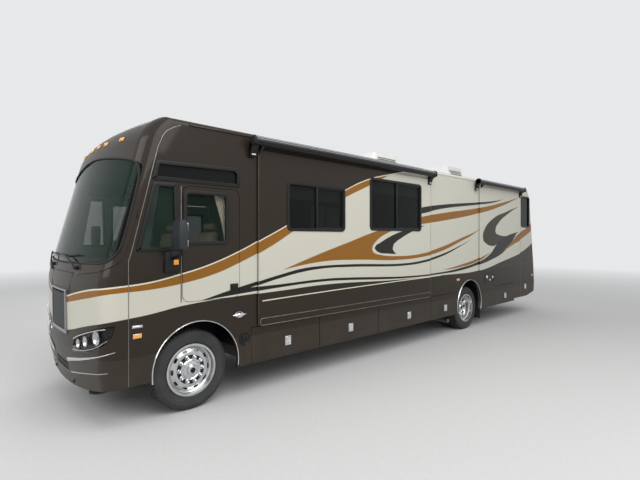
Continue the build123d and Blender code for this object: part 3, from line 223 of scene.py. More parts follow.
class Graph:
    """The nodes of a finish or of the world."""

    def __init__(self, tree):
        self.tree, self.point = tree, None
        tree.nodes.clear()

    def node(self, kind, settings=None, values=None, output=0):
        """A node of any type: its settings first, then the values or links of its sockets."""
        made = self.tree.nodes.new("ShaderNode" + kind)
        for name, setting in (settings or {}).items():
            if name == "stops":
                self.set_stops(made.color_ramp, setting)
            elif name == "points":
                self.set_points(made.mapping, setting)
            else:
                setattr(made, name, setting)
        for socket, value in (values or {}).items():
            self.plug(made.inputs[socket], value)
        return Value(self, made.outputs[output])

    def plug(self, socket, value):
        """Gives a socket a link, a number or a colour."""
        if isinstance(value, Value):
            self.tree.links.new(value.socket, socket)
        elif hasattr(value, "__len__") and len(value) == 3 and socket.type == "RGBA":
            socket.default_value = (*value, 1)
        else:
            socket.default_value = value

    @staticmethod
    def set_stops(ramp, stops):
        """Gives a ramp its stops, each a place and a colour."""
        while len(ramp.elements) < len(stops):
            ramp.elements.new(0.5)
        for element, (place, colour) in zip(ramp.elements, stops):
            element.position = place
            element.color = (*colour, 1)

    @staticmethod
    def set_points(mapping, points):
        """Gives a float curve its points, from left to right."""
        curve = mapping.curves[0]
        while len(curve.points) < len(points):
            curve.points.new(0.5, 0.5)
        for point, place in zip(curve.points, points):
            point.location = place
        mapping.update()

    @property
    def position(self):
        """The point on the object as one vector."""
        if self.point is None:
            self.point = self.node("TexCoord", output="Object")
        return self.point

    def place(self):
        """The three coordinates of the point on the object."""
        first = self.node("SeparateXYZ", values={0: self.position})
        return [Value(self, socket) for socket in first.socket.node.outputs]

    def vector_maths(self, name, first, second=(0, 0, 0), output="Value"):
        """A Vector Math node."""
        return self.node("VectorMath", {"operation": name}, {0: first, 1: second}, output)

    def seen_rays(self):
        """Mask of the rays to the camera, and of those that mirrors and glass show."""
        camera, transmission, glossy = (self.node("LightPath", output=f"Is {kind} Ray")
                                        for kind in ("Camera", "Transmission", "Glossy"))
        return camera.either(transmission).either(glossy)

    def mix(self, factor, first, second):
        """A colour between two colours."""
        return self.node("Mix", {"data_type": "RGBA"}, {"Factor": factor, 6: first, 7: second}, 2)

    def noise(self, scale, detail=2):
        """A noise on the object's own coordinates."""
        return self.node("TexNoise", {}, {"Vector": self.position, "Scale": scale, "Detail": detail})

    def speckle(self, colour, scale, spread):
        """The colour, a little darker and lighter from place to place."""
        stops = [(0.3, toned(colour, 1 - spread)), (0.7, [min(c, 1) for c in toned(colour, 1 + spread)])]
        return self.node("ValToRGB", {"stops": stops}, {0: self.noise(scale, 3)})


class Finish(Graph):
    """One finish: a Principled shader and what feeds it."""

    def __init__(self, key, title=None, **sockets):
        self.material = FINISHES[key] = bpy.data.materials.new(title or key.replace("_", " ").title())
        self.material.use_nodes = True
        super().__init__(self.material.node_tree)
        self.shader = self.node("BsdfPrincipled")
        self.output = self.tree.nodes.new("ShaderNodeOutputMaterial").inputs["Surface"]
        self.plug(self.output, self.shader)
        for socket, value in sockets.items():
            self.feed(socket.replace("_", " ").title().replace("Ior", "IOR"), value)

    def feed(self, socket, value):
        """Gives one of the shader's own sockets its value."""
        self.plug(self.shader.socket.node.inputs[socket], value)

    def bump(self, height, strength, distance=0.01):
        """Sends a height to the shader's normal."""
        values = {"Height": height, "Strength": strength, "Distance": distance}
        self.feed("Normal", self.node("Bump", {}, values))


def toned(colour, level):
    """A colour made darker or lighter."""
    return [channel * level for channel in colour]


def edge_height(graph, along, edge):
    """Height of a painted edge at each place along the coach, as one smooth curve."""
    front, rear = edge[0][0], edge[-1][0]
    tallest = 3.6
    points = [((front - x) / (front - rear), z / tallest) for x, z in edge]
    place = (front - along) * (1 / (front - rear))
    return graph.node("FloatCurve", {"points": points}, {"Value": place}) * tallest


def band(graph, along, height, upper, lower):
    """Mask of what lies between two painted edges."""
    front = min(upper[0][0], lower[0][0])
    rear = max(upper[-1][0], lower[-1][0])
    inside = (height < edge_height(graph, along, upper)) * (height > edge_height(graph, along, lower))
    return inside * (along < front) * (along > rear)


# Modelling helpers
def start():
    """Leaves edit mode and clears the selection before a new piece."""
    if bpy.context.mode != "OBJECT":
        bpy.ops.object.mode_set(mode="OBJECT")
    bpy.context.scene.tool_settings.mesh_select_mode = (True, False, False)
    bpy.ops.object.select_all(action="DESELECT")


def only(piece):
    """Selects one piece and makes it active."""
    start()
    piece.select_set(True)
    bpy.context.view_layer.objects.active = piece


def edit():
    """Enters edit mode with all of the active piece selected."""
    bpy.ops.object.mode_set(mode="EDIT")
    bpy.ops.mesh.select_all(action="SELECT")


def leave(outwards=False):
    """Leaves edit mode, once all faces point outwards if that is asked for."""
    if outwards:
        bpy.ops.mesh.select_all(action="SELECT")
        bpy.ops.mesh.normals_make_consistent(inside=False)
    bpy.ops.object.mode_set(mode="OBJECT")


def apply_place():
    """Puts the active piece's place, turn and size into its mesh."""
    bpy.ops.object.transform_apply(location=True, rotation=True, scale=True)
    return bpy.context.object


def inset(piece, test, *steps):
    """Insets the faces that pass a test, by a width and a depth at each step."""
    only(piece)
    edit()
    bpy.ops.mesh.select_mode(type="FACE")
    bpy.ops.mesh.select_all(action="DESELECT")
    leave()
    for face in piece.data.polygons:
        face.select = bool(test(face))
    bpy.ops.object.mode_set(mode="EDIT")
    for width, depth in steps:
        bpy.ops.mesh.inset(thickness=width, depth=depth)
    leave()
    return piece


def add_modifier(piece, kind, **settings):
    """Adds a modifier and applies it at once."""
    only(piece)
    modifier = piece.modifiers.new(kind.title(), kind)
    for name, value in settings.items():
        setattr(modifier, name, value)
    bpy.ops.object.modifier_apply(modifier=modifier.name)
    return piece


def soften(piece, width, segments=2, angle=30):
    """Rounds the sharp edges of a piece."""
    return add_modifier(piece, "BEVEL", width=width, segments=segments, limit_method="ANGLE",
                        angle_limit=math.radians(angle))


def joined(pieces):
    """Several pieces as one mesh."""
    start()
    for piece in pieces:
        piece.select_set(True)
    bpy.context.view_layer.objects.active = pieces[0]
    if len(pieces) > 1:
        bpy.ops.object.join()
    return bpy.context.object


def settle(piece, name, body, finish, smooth=40, replaced=()):
    """Joins a piece's parts, puts their place into the mesh, and gives it name, finish and body."""
    piece = joined(piece if isinstance(piece, list) else [piece])
    apply_place()
    piece.name = piece.data.name = name
    piece.data.materials.clear()
    piece.data.materials.append(FINISHES[finish])
    if smooth:
        bpy.ops.object.shade_smooth_by_angle(angle=math.radians(smooth))
    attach(piece, body)
    if replaced:
        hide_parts(*replaced)
    return piece


def duplicate(piece, matrix=Matrix()):
    """A copy of a piece with its own mesh, moved by a matrix."""
    twin = piece.copy()
    twin.data = piece.data.copy()
    bpy.context.collection.objects.link(twin)
    twin.data.transform(matrix)
    return twin


def on_side(piece, side):
    """Mirrors a piece to the coach's right side, if that is its side."""
    if side < 0:
        piece.data.transform(Matrix.Scale(-1, 4, (0, 1, 0)))
        piece.data.flip_normals()
    return piece


def both_sides(pieces):
    """The pieces, and their mirror images on the right side."""
    return pieces + [on_side(duplicate(piece), -1) for piece in pieces]


def block(low, high, bevel=0.004, segments=2):
    """A box between two corners, with its edges rounded."""
    start()
    low, high = Vector(low), Vector(high)
    bpy.ops.mesh.primitive_cube_add(size=1, location=(low + high) / 2, scale=high - low)
    piece = apply_place()
    return soften(piece, bevel, segments) if bevel else piece


def wall_block(place, half, off, bevel=0.004, segments=2):
    """A block on the left wall: its middle, half its length and height, and its two distances off."""
    (x, z), (wide, high) = place, half
    return block((ahead(x - wide), WALL_Y + off[0], z - high), (ahead(x + wide), WALL_Y + off[1], z + high),
                 bevel, segments)


def rod(first, second, radius, bevel, sides=24, radius_end=None):
    """A round bar, or a cone if it is given a second radius, between two points."""
    start()
    first, second = Vector(first), Vector(second)
    run = second - first
    bpy.ops.mesh.primitive_cone_add(vertices=sides, radius1=radius, radius2=radius_end or radius,
                                    depth=run.length, location=(first + second) / 2,
                                    rotation=run.to_track_quat("Z", "Y").to_euler())
    return soften(apply_place(), bevel, 2, 50)


def tube(points, radius, curved=True, closed=False):
    """A round tube along a run of points."""
    start()
    bpy.ops.curve.primitive_nurbs_path_add()
    curve = bpy.context.object.data
    curve.splines.clear()
    spline = curve.splines.new("NURBS" if curved and not closed else "POLY")
    spline.points.add(len(points) - 1)
    for point, place in zip(spline.points, points):
        point.co = (*place, 1)
    if spline.type == "NURBS":
        spline.order_u = min(3, len(points))
        spline.use_endpoint_u = True
        spline.resolution_u = 8
    spline.use_cyclic_u = closed
    curve.bevel_depth = radius
    curve.bevel_resolution = 3
    curve.use_fill_caps = not closed
    bpy.context.object.location = (0, 0, 0)
    bpy.ops.object.convert(target="MESH")
    return bpy.context.object


def face(corners, rounding=0.0, segments=5):
    """A flat face with its corner points in space, and its corners rounded."""
    start()
    bpy.ops.mesh.primitive_circle_add(vertices=len(corners), fill_type="NGON")
    piece = bpy.context.object
    for vertex, corner in zip(piece.data.vertices, corners):
        vertex.co = corner
    if rounding:
        edit()
        bpy.ops.mesh.bevel(offset=rounding, segments=segments, affect="VERTICES")
        leave()
    return piece


def plate(corners, thickness, rounding=0.0):
    """A flat plate, thickened away from its front face."""
    return add_modifier(face(corners, rounding), "SOLIDIFY", thickness=thickness, offset=-1)


def ring(corners, width, thickness, rounding):
    """A flat frame of one width inside its corner points, thickened to both sides alike."""
    piece = face(corners, rounding, 6)
    edit()
    bpy.ops.mesh.inset(thickness=width)
    bpy.ops.mesh.delete(type="FACE")
    leave()
    return add_modifier(piece, "SOLIDIFY", thickness=thickness, offset=0)


def prism(outline, low, high, axis="X", bevel=0.0):
    """A bar with one section all along: its corner points in the plane across its axis, X or Y."""
    piece = face([(low, a, b) if axis == "X" else (a, low, b) for a, b in outline])
    edit()
    shift = (high - low, 0, 0) if axis == "X" else (0, high - low, 0)
    bpy.ops.mesh.extrude_region_move(TRANSFORM_OT_translate={"value": shift})
    leave(outwards=True)
    return soften(piece, bevel) if bevel else piece


def lathe(centre, profile, steps=64, axis="Y"):
    """A turned piece: the profile's radius and place along the axis are spun about it."""
    start()
    bpy.ops.mesh.primitive_plane_add(size=0.001)
    piece = bpy.context.object
    edit()
    bpy.ops.mesh.merge(type="CENTER")
    places = [Vector((radius, along, 0)) for radius, along in profile]
    bpy.ops.transform.translate(value=places[0])
    for first, second in zip(places, places[1:]):
        bpy.ops.mesh.extrude_region_move(TRANSFORM_OT_translate={"value": second - first})
    bpy.ops.mesh.select_all(action="SELECT")
    bpy.ops.mesh.spin(steps=steps, angle=2 * math.pi, center=(0, 0, 0), axis=(0, 1, 0))
    bpy.ops.mesh.select_all(action="SELECT")
    bpy.ops.mesh.remove_doubles(threshold=0.00005)
    leave(outwards=True)
    piece.rotation_euler = {"X": (0, 0, -math.pi / 2), "Y": (0, 0, 0), "Z": (math.pi / 2, 0, 0)}[axis]
    piece.location = centre
    only(piece)
    return apply_place()


def sheet(columns, rows, place, thickness, offset=-1):
    """A sheet whose grid points are put in space by a function of their shares across and up."""
    start()
    bpy.ops.mesh.primitive_grid_add(x_subdivisions=columns, y_subdivisions=rows, size=1)
    piece = bpy.context.object
    for vertex in piece.data.vertices:
        vertex.co = place(vertex.co.x + 0.5, vertex.co.y + 0.5)
    return add_modifier(piece, "SOLIDIFY", thickness=thickness, offset=offset) if thickness else piece


# The coach's own shape
def ahead(x):
    """Place along the coach, from a distance ahead of the front axle."""
    return FRONT_X + x


def nose_tip(z):
    """How far ahead of the front axle the middle of the nose reaches at a height."""
    if z > BROW_Z:
        x, middle, radius = BROW_CENTRE
        return x + math.sqrt(max(radius ** 2 - (z - middle) ** 2, 0))
    bend, x, low_slope, high_slope, reach = NOSE_CORNERS[0 if z < NOSE_CHANGE else 1]
    tip = x + (z - bend) * (low_slope if z < bend else high_slope)
    if abs(z - bend) < reach:
        tip += (high_slope - low_slope) * (reach - abs(z - bend)) ** 2 / (4 * reach)
    return tip


def tail_reach(z):
    """How far behind the front axle the middle of the tail reaches at a height."""
    top, reach = TAIL_RUNS[-1]
    if z > top:
        reach += -0.163 * (z - top) - 0.55 * (z - top) ** 2
    else:
        for (low, first), (high, second) in zip(TAIL_RUNS, TAIL_RUNS[1:]):
            if z <= high:
                reach = first + (second - first) * (z - low) / (high - low)
                break
    return reach - sum(depth * math.exp(-((z - middle) / half) ** 2) for depth, middle, half in TAIL_GROOVES)


def on_skin(way, reach, plan, y, z, out):
    """Point on the nose or tail at a place across, a height and a distance off the skin."""
    bow, corner_y, corner_r = plan
    bow_r = corner_y / math.sin(bow) + corner_r
    if abs(y) <= bow_r * math.sin(bow):
        turn = math.asin(abs(y) / bow_r)
        x = bow_r * (math.cos(turn) - 1)
    else:
        turn = math.asin(min((abs(y) - corner_y) / corner_r, 1))
        x = -bow_r * (1 - math.cos(bow)) - corner_r * math.cos(bow) + corner_r * math.cos(turn)
    lean = (reach(z + 0.005) - reach(z - 0.005)) / 0.01
    across = math.sin(turn) if y >= 0 else -math.sin(turn)
    normal = Vector((way * math.cos(turn), across, -lean * math.cos(turn))).normalized()
    return Vector((ahead(way * (reach(z) + x)), y, z)) + normal * out


def on_nose(y, z, out=0.0):
    """Point on the nose."""
    return on_skin(1, nose_tip, NOSE_PLAN, y, z, out)


def on_tail(y, z, out=0.0):
    """Point on the tail."""
    return on_skin(-1, tail_reach, TAIL_PLAN, y, z, out)


def patch(skin, grid, across, up, lift, thickness):
    """A patch of the nose or tail, between two places across and two heights."""
    def place(u, v):
        return skin(across[0] + (across[1] - across[0]) * u, up[0] + (up[1] - up[0]) * v,
                    lift(u, v) if callable(lift) else lift)
    return sheet(*grid, place, thickness)


def dome(skin, y, z, wide, high, lift, grid, thickness=0.004):
    """A low domed lens on the nose or tail."""
    return patch(skin, grid, (y - wide / 2, y + wide / 2), (z - high / 2, z + high / 2), lambda u, v: (
        0.002 + lift * (math.sin(math.pi * u) * math.sin(math.pi * v)) ** 0.5), thickness)


def turned_on(skin, y, z, lift, profile):
    """A turned piece that stands out of the nose or tail."""
    piece = lathe((0, 0, 0), profile, 32)
    centre = skin(y, z, lift)
    outwards = (skin(y, z, lift + 1) - centre).to_track_quat("Y", "Z").to_matrix().to_4x4()
    piece.data.transform(Matrix.Translation(centre) @ outwards)
    return piece


def share_along(points, share):
    """Point at a share of the way along a run of points."""
    points = [Vector(point) for point in points]
    lengths = [(second - first).length for first, second in zip(points, points[1:])]
    target = share * sum(lengths)
    for first, second, length in zip(points, points[1:], lengths):
        if target <= length:
            return first.lerp(second, target / length)
        target -= length
    return points[-1]


def nose_strip(points, widths, out, thickness, columns=28):
    """A moulding along the nose: places across and heights, its width at each end, its lift."""
    def place(u, v):
        y, z = share_along(points, u)
        return on_nose(y, z + (v - 0.5) * (widths[0] + (widths[1] - widths[0]) * u), out)
    return soften(sheet(columns, 2, place, thickness), min(thickness, *widths) * 0.3)


def strip_pair(points, *sizes):
    """A moulding on both halves of the nose."""
    return [nose_strip([(side * y, z) for y, z in points], *sizes) for side in (1, -1)]


def side_points(places, y):
    """Points on a side wall from places ahead of the front axle and heights."""
    return [(ahead(x), y, z) for x, z in places]


def rectangle(front, rear, low, high):
    """Corner places of an upright rectangle."""
    return [(front, low), (rear, low), (rear, high), (front, high)]


def grown(places, amount):
    """An outline with its corners moved away from its middle along both directions."""
    middle_x, middle_z = ((min(values) + max(values)) / 2 for values in zip(*places))
    return [(x + math.copysign(amount, x - middle_x), z + math.copysign(amount, z - middle_z))
            for x, z in places]


def window_frame(places, side, wall, sizes, corner=None):
    """The black frame of one side window, a little proud of the wall and a little inside it."""
    piece = ring(side_points(grown(places, sizes.frame_lap), side * (wall + sizes.frame_depth / 2 - 0.02)),
                 sizes.frame_width, sizes.frame_depth, corner or sizes.frame_corner)
    return soften(piece, 0.003, 2, 60)


# Settings that a user would change
class StageSettings(bpy.types.PropertyGroup):
    """Camera, lights and floor."""
    focal_length: FloatProperty(name="Focal length", description="Lens on a sensor 36 mm wide",
                                default=23.76, unit="CAMERA")
    camera_height: FloatProperty(name="Camera height", description="Height of the eye over the road",
                                 default=1.977, unit="LENGTH")
    camera_ahead: FloatProperty(name="Camera ahead", description="How far ahead of the front axle it stands",
                                default=2.253, unit="LENGTH")
    camera_aside: FloatProperty(name="Camera aside", description="How far to the driver's side it stands",
                                default=5.755, unit="LENGTH")
    heading: FloatProperty(name="Heading", description="Where the camera looks, from the forward direction",
                           default=math.radians(-133.09), subtype="ANGLE")
    floor_colour: FloatVectorProperty(name="Floor", description="Colour of the floor", subtype="COLOR",
                                      default=(0.5, 0.5, 0.495))
    sky_level: FloatProperty(name="Sky level", description="Brightness of the light from all round",
                             default=0.55)
    key_power: FloatProperty(name="Key light", description="Power of the large lamp overhead",
                             default=900, unit="POWER")


class PaintSettings(bpy.types.PropertyGroup):
    """Colours of the coachwork."""
    upper: FloatVectorProperty(name="Upper colour", description="Roof line, cab and upper walls",
                               subtype="COLOR", default=(0.0165, 0.0112, 0.0062))
    field: FloatVectorProperty(name="Field colour", description="Wide middle field", subtype="COLOR",
                               default=(0.49, 0.478, 0.41))
    gold: FloatVectorProperty(name="Gold", description="Sweeping bands", subtype="COLOR",
                              default=(0.215, 0.088, 0.007))
    black: FloatVectorProperty(name="Black", description="Narrow bands and hooks", subtype="COLOR",
                               default=(0.0075, 0.0078, 0.0058))
    taupe: FloatVectorProperty(name="Taupe", description="Large hook near the rear", subtype="COLOR",
                               default=(0.028, 0.0205, 0.0135))
    skirt: FloatVectorProperty(name="Skirt colour", description="Lower walls and storage doors",
                               subtype="COLOR", default=(0.018, 0.0122, 0.0068))
    line: FloatVectorProperty(name="Line colour", description="Narrow pale lines", subtype="COLOR",
                              default=(0.6, 0.56, 0.46))
    lining: FloatVectorProperty(name="Lining colour", description="Inner side of the walls",
                                subtype="COLOR", default=(0.42, 0.37, 0.28))
    line_width: FloatProperty(name="Line width", description="Width of the pale line over the gold",
                              default=0.016, unit="LENGTH")


class TrimSettings(bpy.types.PropertyGroup):
    """Sizes of window frames and small trim."""
    frame_width: FloatProperty(name="Window frame", description="Visible width of a window frame",
                               default=0.042, unit="LENGTH")
    frame_depth: FloatProperty(name="Frame depth", description="Thickness of a window frame",
                               default=0.03, unit="LENGTH")
    frame_lap: FloatProperty(name="Frame lap", description="How far a window frame laps over the wall",
                             default=0.012, unit="LENGTH")
    frame_corner: FloatProperty(name="Frame corner", description="Corner radius of a window frame",
                                default=0.075, unit="LENGTH")
    trim_radius: FloatProperty(name="Arch trim", description="Height of the wheel arch trim off the wall",
                               default=0.01, unit="LENGTH")


class WheelSettings(bpy.types.PropertyGroup):
    """Tyres and wheel nuts."""
    nuts: IntProperty(name="Wheel nuts", description="Nuts on each wheel", default=10, min=5, max=12)
    tread_blocks: IntProperty(name="Tread blocks", description="Blocks round each shoulder of a tyre",
                              default=60, min=20, max=90)
    groove_depth: FloatProperty(name="Groove depth", description="Depth of the tread grooves",
                                default=0.012, unit="LENGTH")


class MOTORHOME_OT_stage(bpy.types.Operator):
    """Set up the camera, the lamps and the pale floor"""
    bl_idname = "motorhome.stage"
    bl_label = "Stage"

    def execute(self, context):
        sizes = context.scene.motorhome_stage
        eye = Vector((ahead(sizes.camera_ahead), sizes.camera_aside, sizes.camera_height))
        look = Vector((math.cos(sizes.heading), math.sin(sizes.heading), -0.0035))
        bpy.ops.object.camera_add(location=eye, rotation=look.to_track_quat("-Z", "Y").to_euler())
        camera = context.object
        camera.data.lens = sizes.focal_length
        camera.data.sensor_width = 36
        camera.data.clip_end = 300
        context.scene.camera = camera
        context.scene.view_settings.view_transform = "Standard"
        self.add_floor(sizes)
        self.add_light(context, sizes)
        return {"FINISHED"}

    def add_floor(self, sizes):
        """A wide floor with a fine grain, which fades to the pale backdrop far from the coach."""
        bpy.ops.mesh.primitive_plane_add(size=900, location=(0, 0, -0.002))
        floor = bpy.context.object
        floor.name = "floor_plane"
        finish = Finish("stage_floor", "Stage floor", roughness=0.9)
        finish.feed("Base Color", finish.speckle(sizes.floor_colour, 30, 0.03))
        away = finish.vector_maths("LENGTH", finish.position)
        fade = finish.node("Math", {"operation": "MULTIPLY", "use_clamp": True}, {0: away - 9, 1: 0.06})
        backdrop = finish.node("Emission", {}, {"Color": BACKDROP, "Strength": 1.0})
        finish.plug(finish.output, finish.node(
            "MixShader", {}, {0: fade * finish.seen_rays(), 1: finish.shader, 2: backdrop}))
        floor.data.materials.append(finish.material)

    def add_light(self, context, sizes):
        """Even light from all round, and three large soft lamps."""
        world = bpy.data.worlds.new("Studio")
        context.scene.world = world
        world.use_nodes = True
        graph = Graph(world.node_tree)
        plain = graph.node("Background", {}, {"Color": (0.98, 0.99, 1, 1), "Strength": sizes.sky_level})
        shown = graph.node("Background", {}, {"Color": BACKDROP})
        share = graph.seen_rays().either(BACKDROP_SHARE)
        mixed = graph.node("MixShader", {}, {0: share, 1: plain, 2: shown})
        graph.plug(graph.tree.nodes.new("ShaderNodeOutputWorld").inputs["Surface"], mixed)
        for place, aim, size, level in (((ahead(-1), 7.5, 8.5), (ahead(-4), 0, 1.6), 9, 1),
                                        ((ahead(8), 1, 6), (ahead(0), 0, 1.5), 6, 0.45),
                                        ((-1, -9, 8), (-1, 0, 1.5), 9, 0.6)):
            turn = (Vector(aim) - Vector(place)).to_track_quat("-Z", "Y").to_euler()
            bpy.ops.object.light_add(type="AREA", location=place, rotation=turn)
            bpy.context.object.data.size = size
            bpy.context.object.data.energy = sizes.key_power * level


class MOTORHOME_OT_finishes(bpy.types.Operator):
    """Make the finishes: paint, metals, plastics, rubber, glass and cloth"""
    bl_idname = "motorhome.finishes"
    bl_label = "Finishes"

    def execute(self, context):
        self.make_coachwork(context.scene.motorhome_paint)
        self.make_metals()
        self.make_plastics()
        self.make_glass()
        self.make_soft()
        return {"FINISHED"}

    def make_coachwork(self, paints):
        """Clear-coated coach paint with its bands, and the plain lining on the inner side."""
        paint = Finish("paint", "Coach paint", roughness=0.5, specular_ior_level=0.15, coat_roughness=0.06)
        x, y, z = paint.place()
        along = x - FRONT_X + (WALL_Y - abs(y)) * ((x > ahead(0.4)) - (x < ahead(-9.6)))
        upper_edge, gold_edge, skirt_edge, pin_edge = (
            edge_height(paint, along, edge) for edge in (UPPER_EDGE, GOLD_EDGE, SKIRT_EDGE, PINSTRIPE))
        flakes = paint.noise(900, 1)
        upper, skirt = (paint.mix(flakes, toned(shade, 0.8), toned(shade, 1.25))
                        for shade in (paints.upper, paints.skirt))
        gold_top = upper_edge - paints.line_width
        layers = [
            (z > upper_edge, upper),
            ((z < gold_top) * (z > gold_edge) * (along > GOLD_EDGE[-1][0]), paints.gold),
            ((z < upper_edge) * (z > gold_top) * (along > UPPER_EDGE[-1][0]), paints.line),
            (z < skirt_edge, skirt),
            ((abs(z - pin_edge) < 0.007) * (along < PINSTRIPE[0][0]) * (along > PINSTRIPE[-1][0]), paints.line)]
        for shade, top, foot, *bite in SWOOSHES:
            mask = band(paint, along, z, top, foot)
            layers.append((mask * (1 - band(paint, along, z, *bite)) if bite else mask, getattr(paints, shade)))
        facing = paint.node("NewGeometry", output="Normal")
        from_middle = paint.vector_maths("SUBTRACT", paint.position, (0, 0, 1.9), 0)
        inner = (paint.vector_maths("DOT_PRODUCT", facing, from_middle) < 0) * (abs(y) < LINING_Y)
        lengthwise = abs(paint.vector_maths("DOT_PRODUCT", facing, (1, 0, 0))) > 0.9
        room_end = lengthwise * (x < ahead(0)) * (x > ahead(-9.3)) * (abs(y) < WALL_Y - 0.02) * (z > 0.87)
        crown = (z > CROWN_Z) * (along < 0.02) * (along > TAIL_SEAM[0][0])
        layers += [
            (paint.noise(3, 4) * (z < 0.75) * 0.25, (0.1, 0.085, 0.07)),  # grime
            (room_end, paint.speckle((0.4, 0.39, 0.35), 12, 0.06)),
            (crown, paint.speckle((0.5, 0.5, 0.48), 9, 0.1)),
            ((abs(y) > ROLLER_Y) * (z > ROLLER_Z), paint.speckle((0.016, 0.016, 0.017), 60, 0.3)),
            (inner, paints.lining)]
        colour = paints.field
        for mask, shade in layers:
            colour = paint.mix(mask, colour, shade)
        paint.feed("Base Color", colour)
        paint.feed("Coat Weight", (1 - inner) * (1 - crown) * 0.28)
        paint.bump(paint.noise(14, 2), 0.02)
        for name, shade in (("plain_upper", paints.upper), ("plain_skirt", paints.skirt)):
            plain = Finish(name, roughness=0.5, specular_ior_level=0.15, coat_weight=0.28)
            plain.feed("Base Color", plain.speckle(shade, 60, 0.1))

    def make_metals(self):
        """Bright, brushed, painted and rusty metals."""
        for name, colour, metallic, rough, spread, scale in (
                ("chrome", (0.66, 0.67, 0.69), 1, 0.1, 0.1, 20),
                ("polished_alloy", (0.58, 0.585, 0.59), 1, 0.2, 0.12, 14),
                ("mirror_silver", (0.9, 0.91, 0.92), 1, 0.03, 0.01, 4),
                ("bright_latch", (0.7, 0.71, 0.73), 1, 0.3, 0.15, 90),
                ("satin_alloy", (0.36, 0.355, 0.35), 1, 0.36, 0.1, 30),
                ("seam_alloy", (0.24, 0.225, 0.2), 1, 0.3, 0.2, 12),
                ("frame_black", (0.03, 0.03, 0.032), 0.2, 0.5, 0.3, 25),
                ("cast_iron", (0.06, 0.058, 0.055), 0.6, 0.6, 0.35, 30),
                ("exhaust_steel", (0.2, 0.185, 0.17), 0.9, 0.42, 0.4, 18),
                ("topper_case", (0.07, 0.07, 0.073), 0.8, 0.3, 0.2, 16),
                # The next finish is lighter than the body-coloured slide mouldings it goes on: a painted
                # highlight along them.
                ("moulding_edge", (0.2, 0.175, 0.145), 0.8, 0.34, 0.3, 12)):
            metal = Finish(name, metallic=metallic)
            metal.feed("Base Color", metal.speckle(colour, scale, spread))
            metal.feed("Roughness", metal.noise(scale * 3, 3) * (rough * 0.5) + rough * 0.75)
            metal.bump(metal.noise(scale * 6, 2), 0.04, 0.002)

    def make_plastics(self):
        """Mouldings, boards and rubbers."""
        for name, colour, rough, spread, scale, bump in (
                ("black_gloss", (0.006, 0.006, 0.007), 0.22, 0.15, 30, 0.01),
                ("black_satin", (0.006, 0.006, 0.0065), 0.46, 0.25, 60, 0.03),
                ("dark_pane", (0.008, 0.02, 0.015), 0.09, 0.3, 3, 0.005),
                ("black_rubber", (0.014, 0.014, 0.015), 0.72, 0.3, 90, 0.12),
                ("slate_shell", (0.021, 0.0255, 0.029), 0.5, 0.15, 80, 0.02),
                ("grille_slate", (0.014, 0.018, 0.021), 0.5, 0.15, 80, 0.02),
                ("white_moulding", (0.62, 0.62, 0.6), 0.5, 0.06, 12, 0.04),
                ("grey_board", (0.12, 0.115, 0.11), 0.85, 0.2, 24, 0.1),
                ("cab_moulding", (0.25, 0.215, 0.165), 0.6, 0.08, 70, 0.08),
                ("pale_rail", (0.6, 0.6, 0.58), 0.4, 0.06, 14, 0.02),
                ("dark_shroud", (0.07, 0.068, 0.065), 0.5, 0.15, 20, 0.05)):
            plastic = Finish(name, specular_ior_level=0.3 if colour[0] < 0.05 else 0.5)
            plastic.feed("Base Color", plastic.speckle(colour, scale, spread))
            plastic.feed("Roughness", plastic.noise(scale * 2, 2) * 0.12 + (rough - 0.06))
            plastic.bump(plastic.noise(scale * 5, 3), bump, 0.003)
        mesh = Finish("radiator_mesh", "Radiator mesh", roughness=0.6, metallic=0.5)
        cells = mesh.node("TexVoronoi", {}, {"Vector": mesh.position, "Scale": 110.0})
        stops = [(0.35, (0.03, 0.03, 0.032)), (0.6, (0.004, 0.004, 0.004))]
        mesh.feed("Base Color", mesh.node("ValToRGB", {"stops": stops}, {0: cells}))
        mesh.bump(cells, 0.8, 0.004)
        tyre = Finish("tyre", "Tyre rubber", roughness=0.78)
        tyre.feed("Base Color", tyre.mix(tyre.noise(9, 4), (0.012, 0.013, 0.014), (0.045, 0.045, 0.043)))
        tyre.bump(tyre.noise(220, 2), 0.15, 0.002)

    def make_glass(self):
        """Tinted and clear glass, and lamp lenses."""
        glass = Finish("tinted_glass", roughness=0.03, specular_ior_level=0.14)
        x, y, z = glass.place()
        quarter = (x > ahead(0.2)) * (z < 2.6)
        brow = (x > ahead(-0.6)) * (z > 2.6)
        entry = (x > ahead(-0.45)) * (z < 2.6)
        room = (abs(y) > 1.285) * 0.16
        glass.feed("Alpha", 0.76 - entry * 0.5 + brow * 0.22 - room)
        glass.feed("Base Color", glass.mix(quarter, (0.006, 0.0075, 0.007), (0.02, 0.045, 0.034)))
        for name, tint, alpha, rough in (("cab_glass", (0.014, 0.034, 0.026), 0.16, 0.03),
                                         ("clear_lens", (0.03, 0.03, 0.03), 0.14, 0.05)):
            glass = Finish(name, roughness=rough, specular_ior_level=0.14, alpha=alpha)
            glass.feed("Base Color", glass.speckle(tint, 2, 0.1))
        for name, tint in (("amber_lens", (0.95, 0.38, 0.015)), ("red_lens", (0.5, 0.012, 0.01)),
                           ("white_lens", (0.7, 0.7, 0.68))):
            lens = Finish(name, roughness=0.15, coat_weight=0.6)
            ridges = lens.node("TexWave", {"bands_direction": "Z"}, {"Vector": lens.position, "Scale": 40.0}, 1)
            lens.feed("Base Color", lens.mix(ridges * 0.35, tint, toned(tint, 0.55)))
            lens.bump(ridges, 0.25, 0.003)
        glass = Finish("windshield", "Windshield glass", roughness=0.03, specular_ior_level=0.08)
        y, z = glass.place()[1:]
        side_edge = 1.2 + (z - 1.73) * 0.02
        top_edge = 2.905 - y * y * 0.085
        border = (abs(y) > side_edge).either(z > top_edge).either(z < 1.745)
        tint = glass.mix(glass.noise(1.5, 3), (0.005, 0.016, 0.011), (0.012, 0.034, 0.024))
        glass.feed("Base Color", glass.mix(border, tint, (0.004, 0.004, 0.004)))
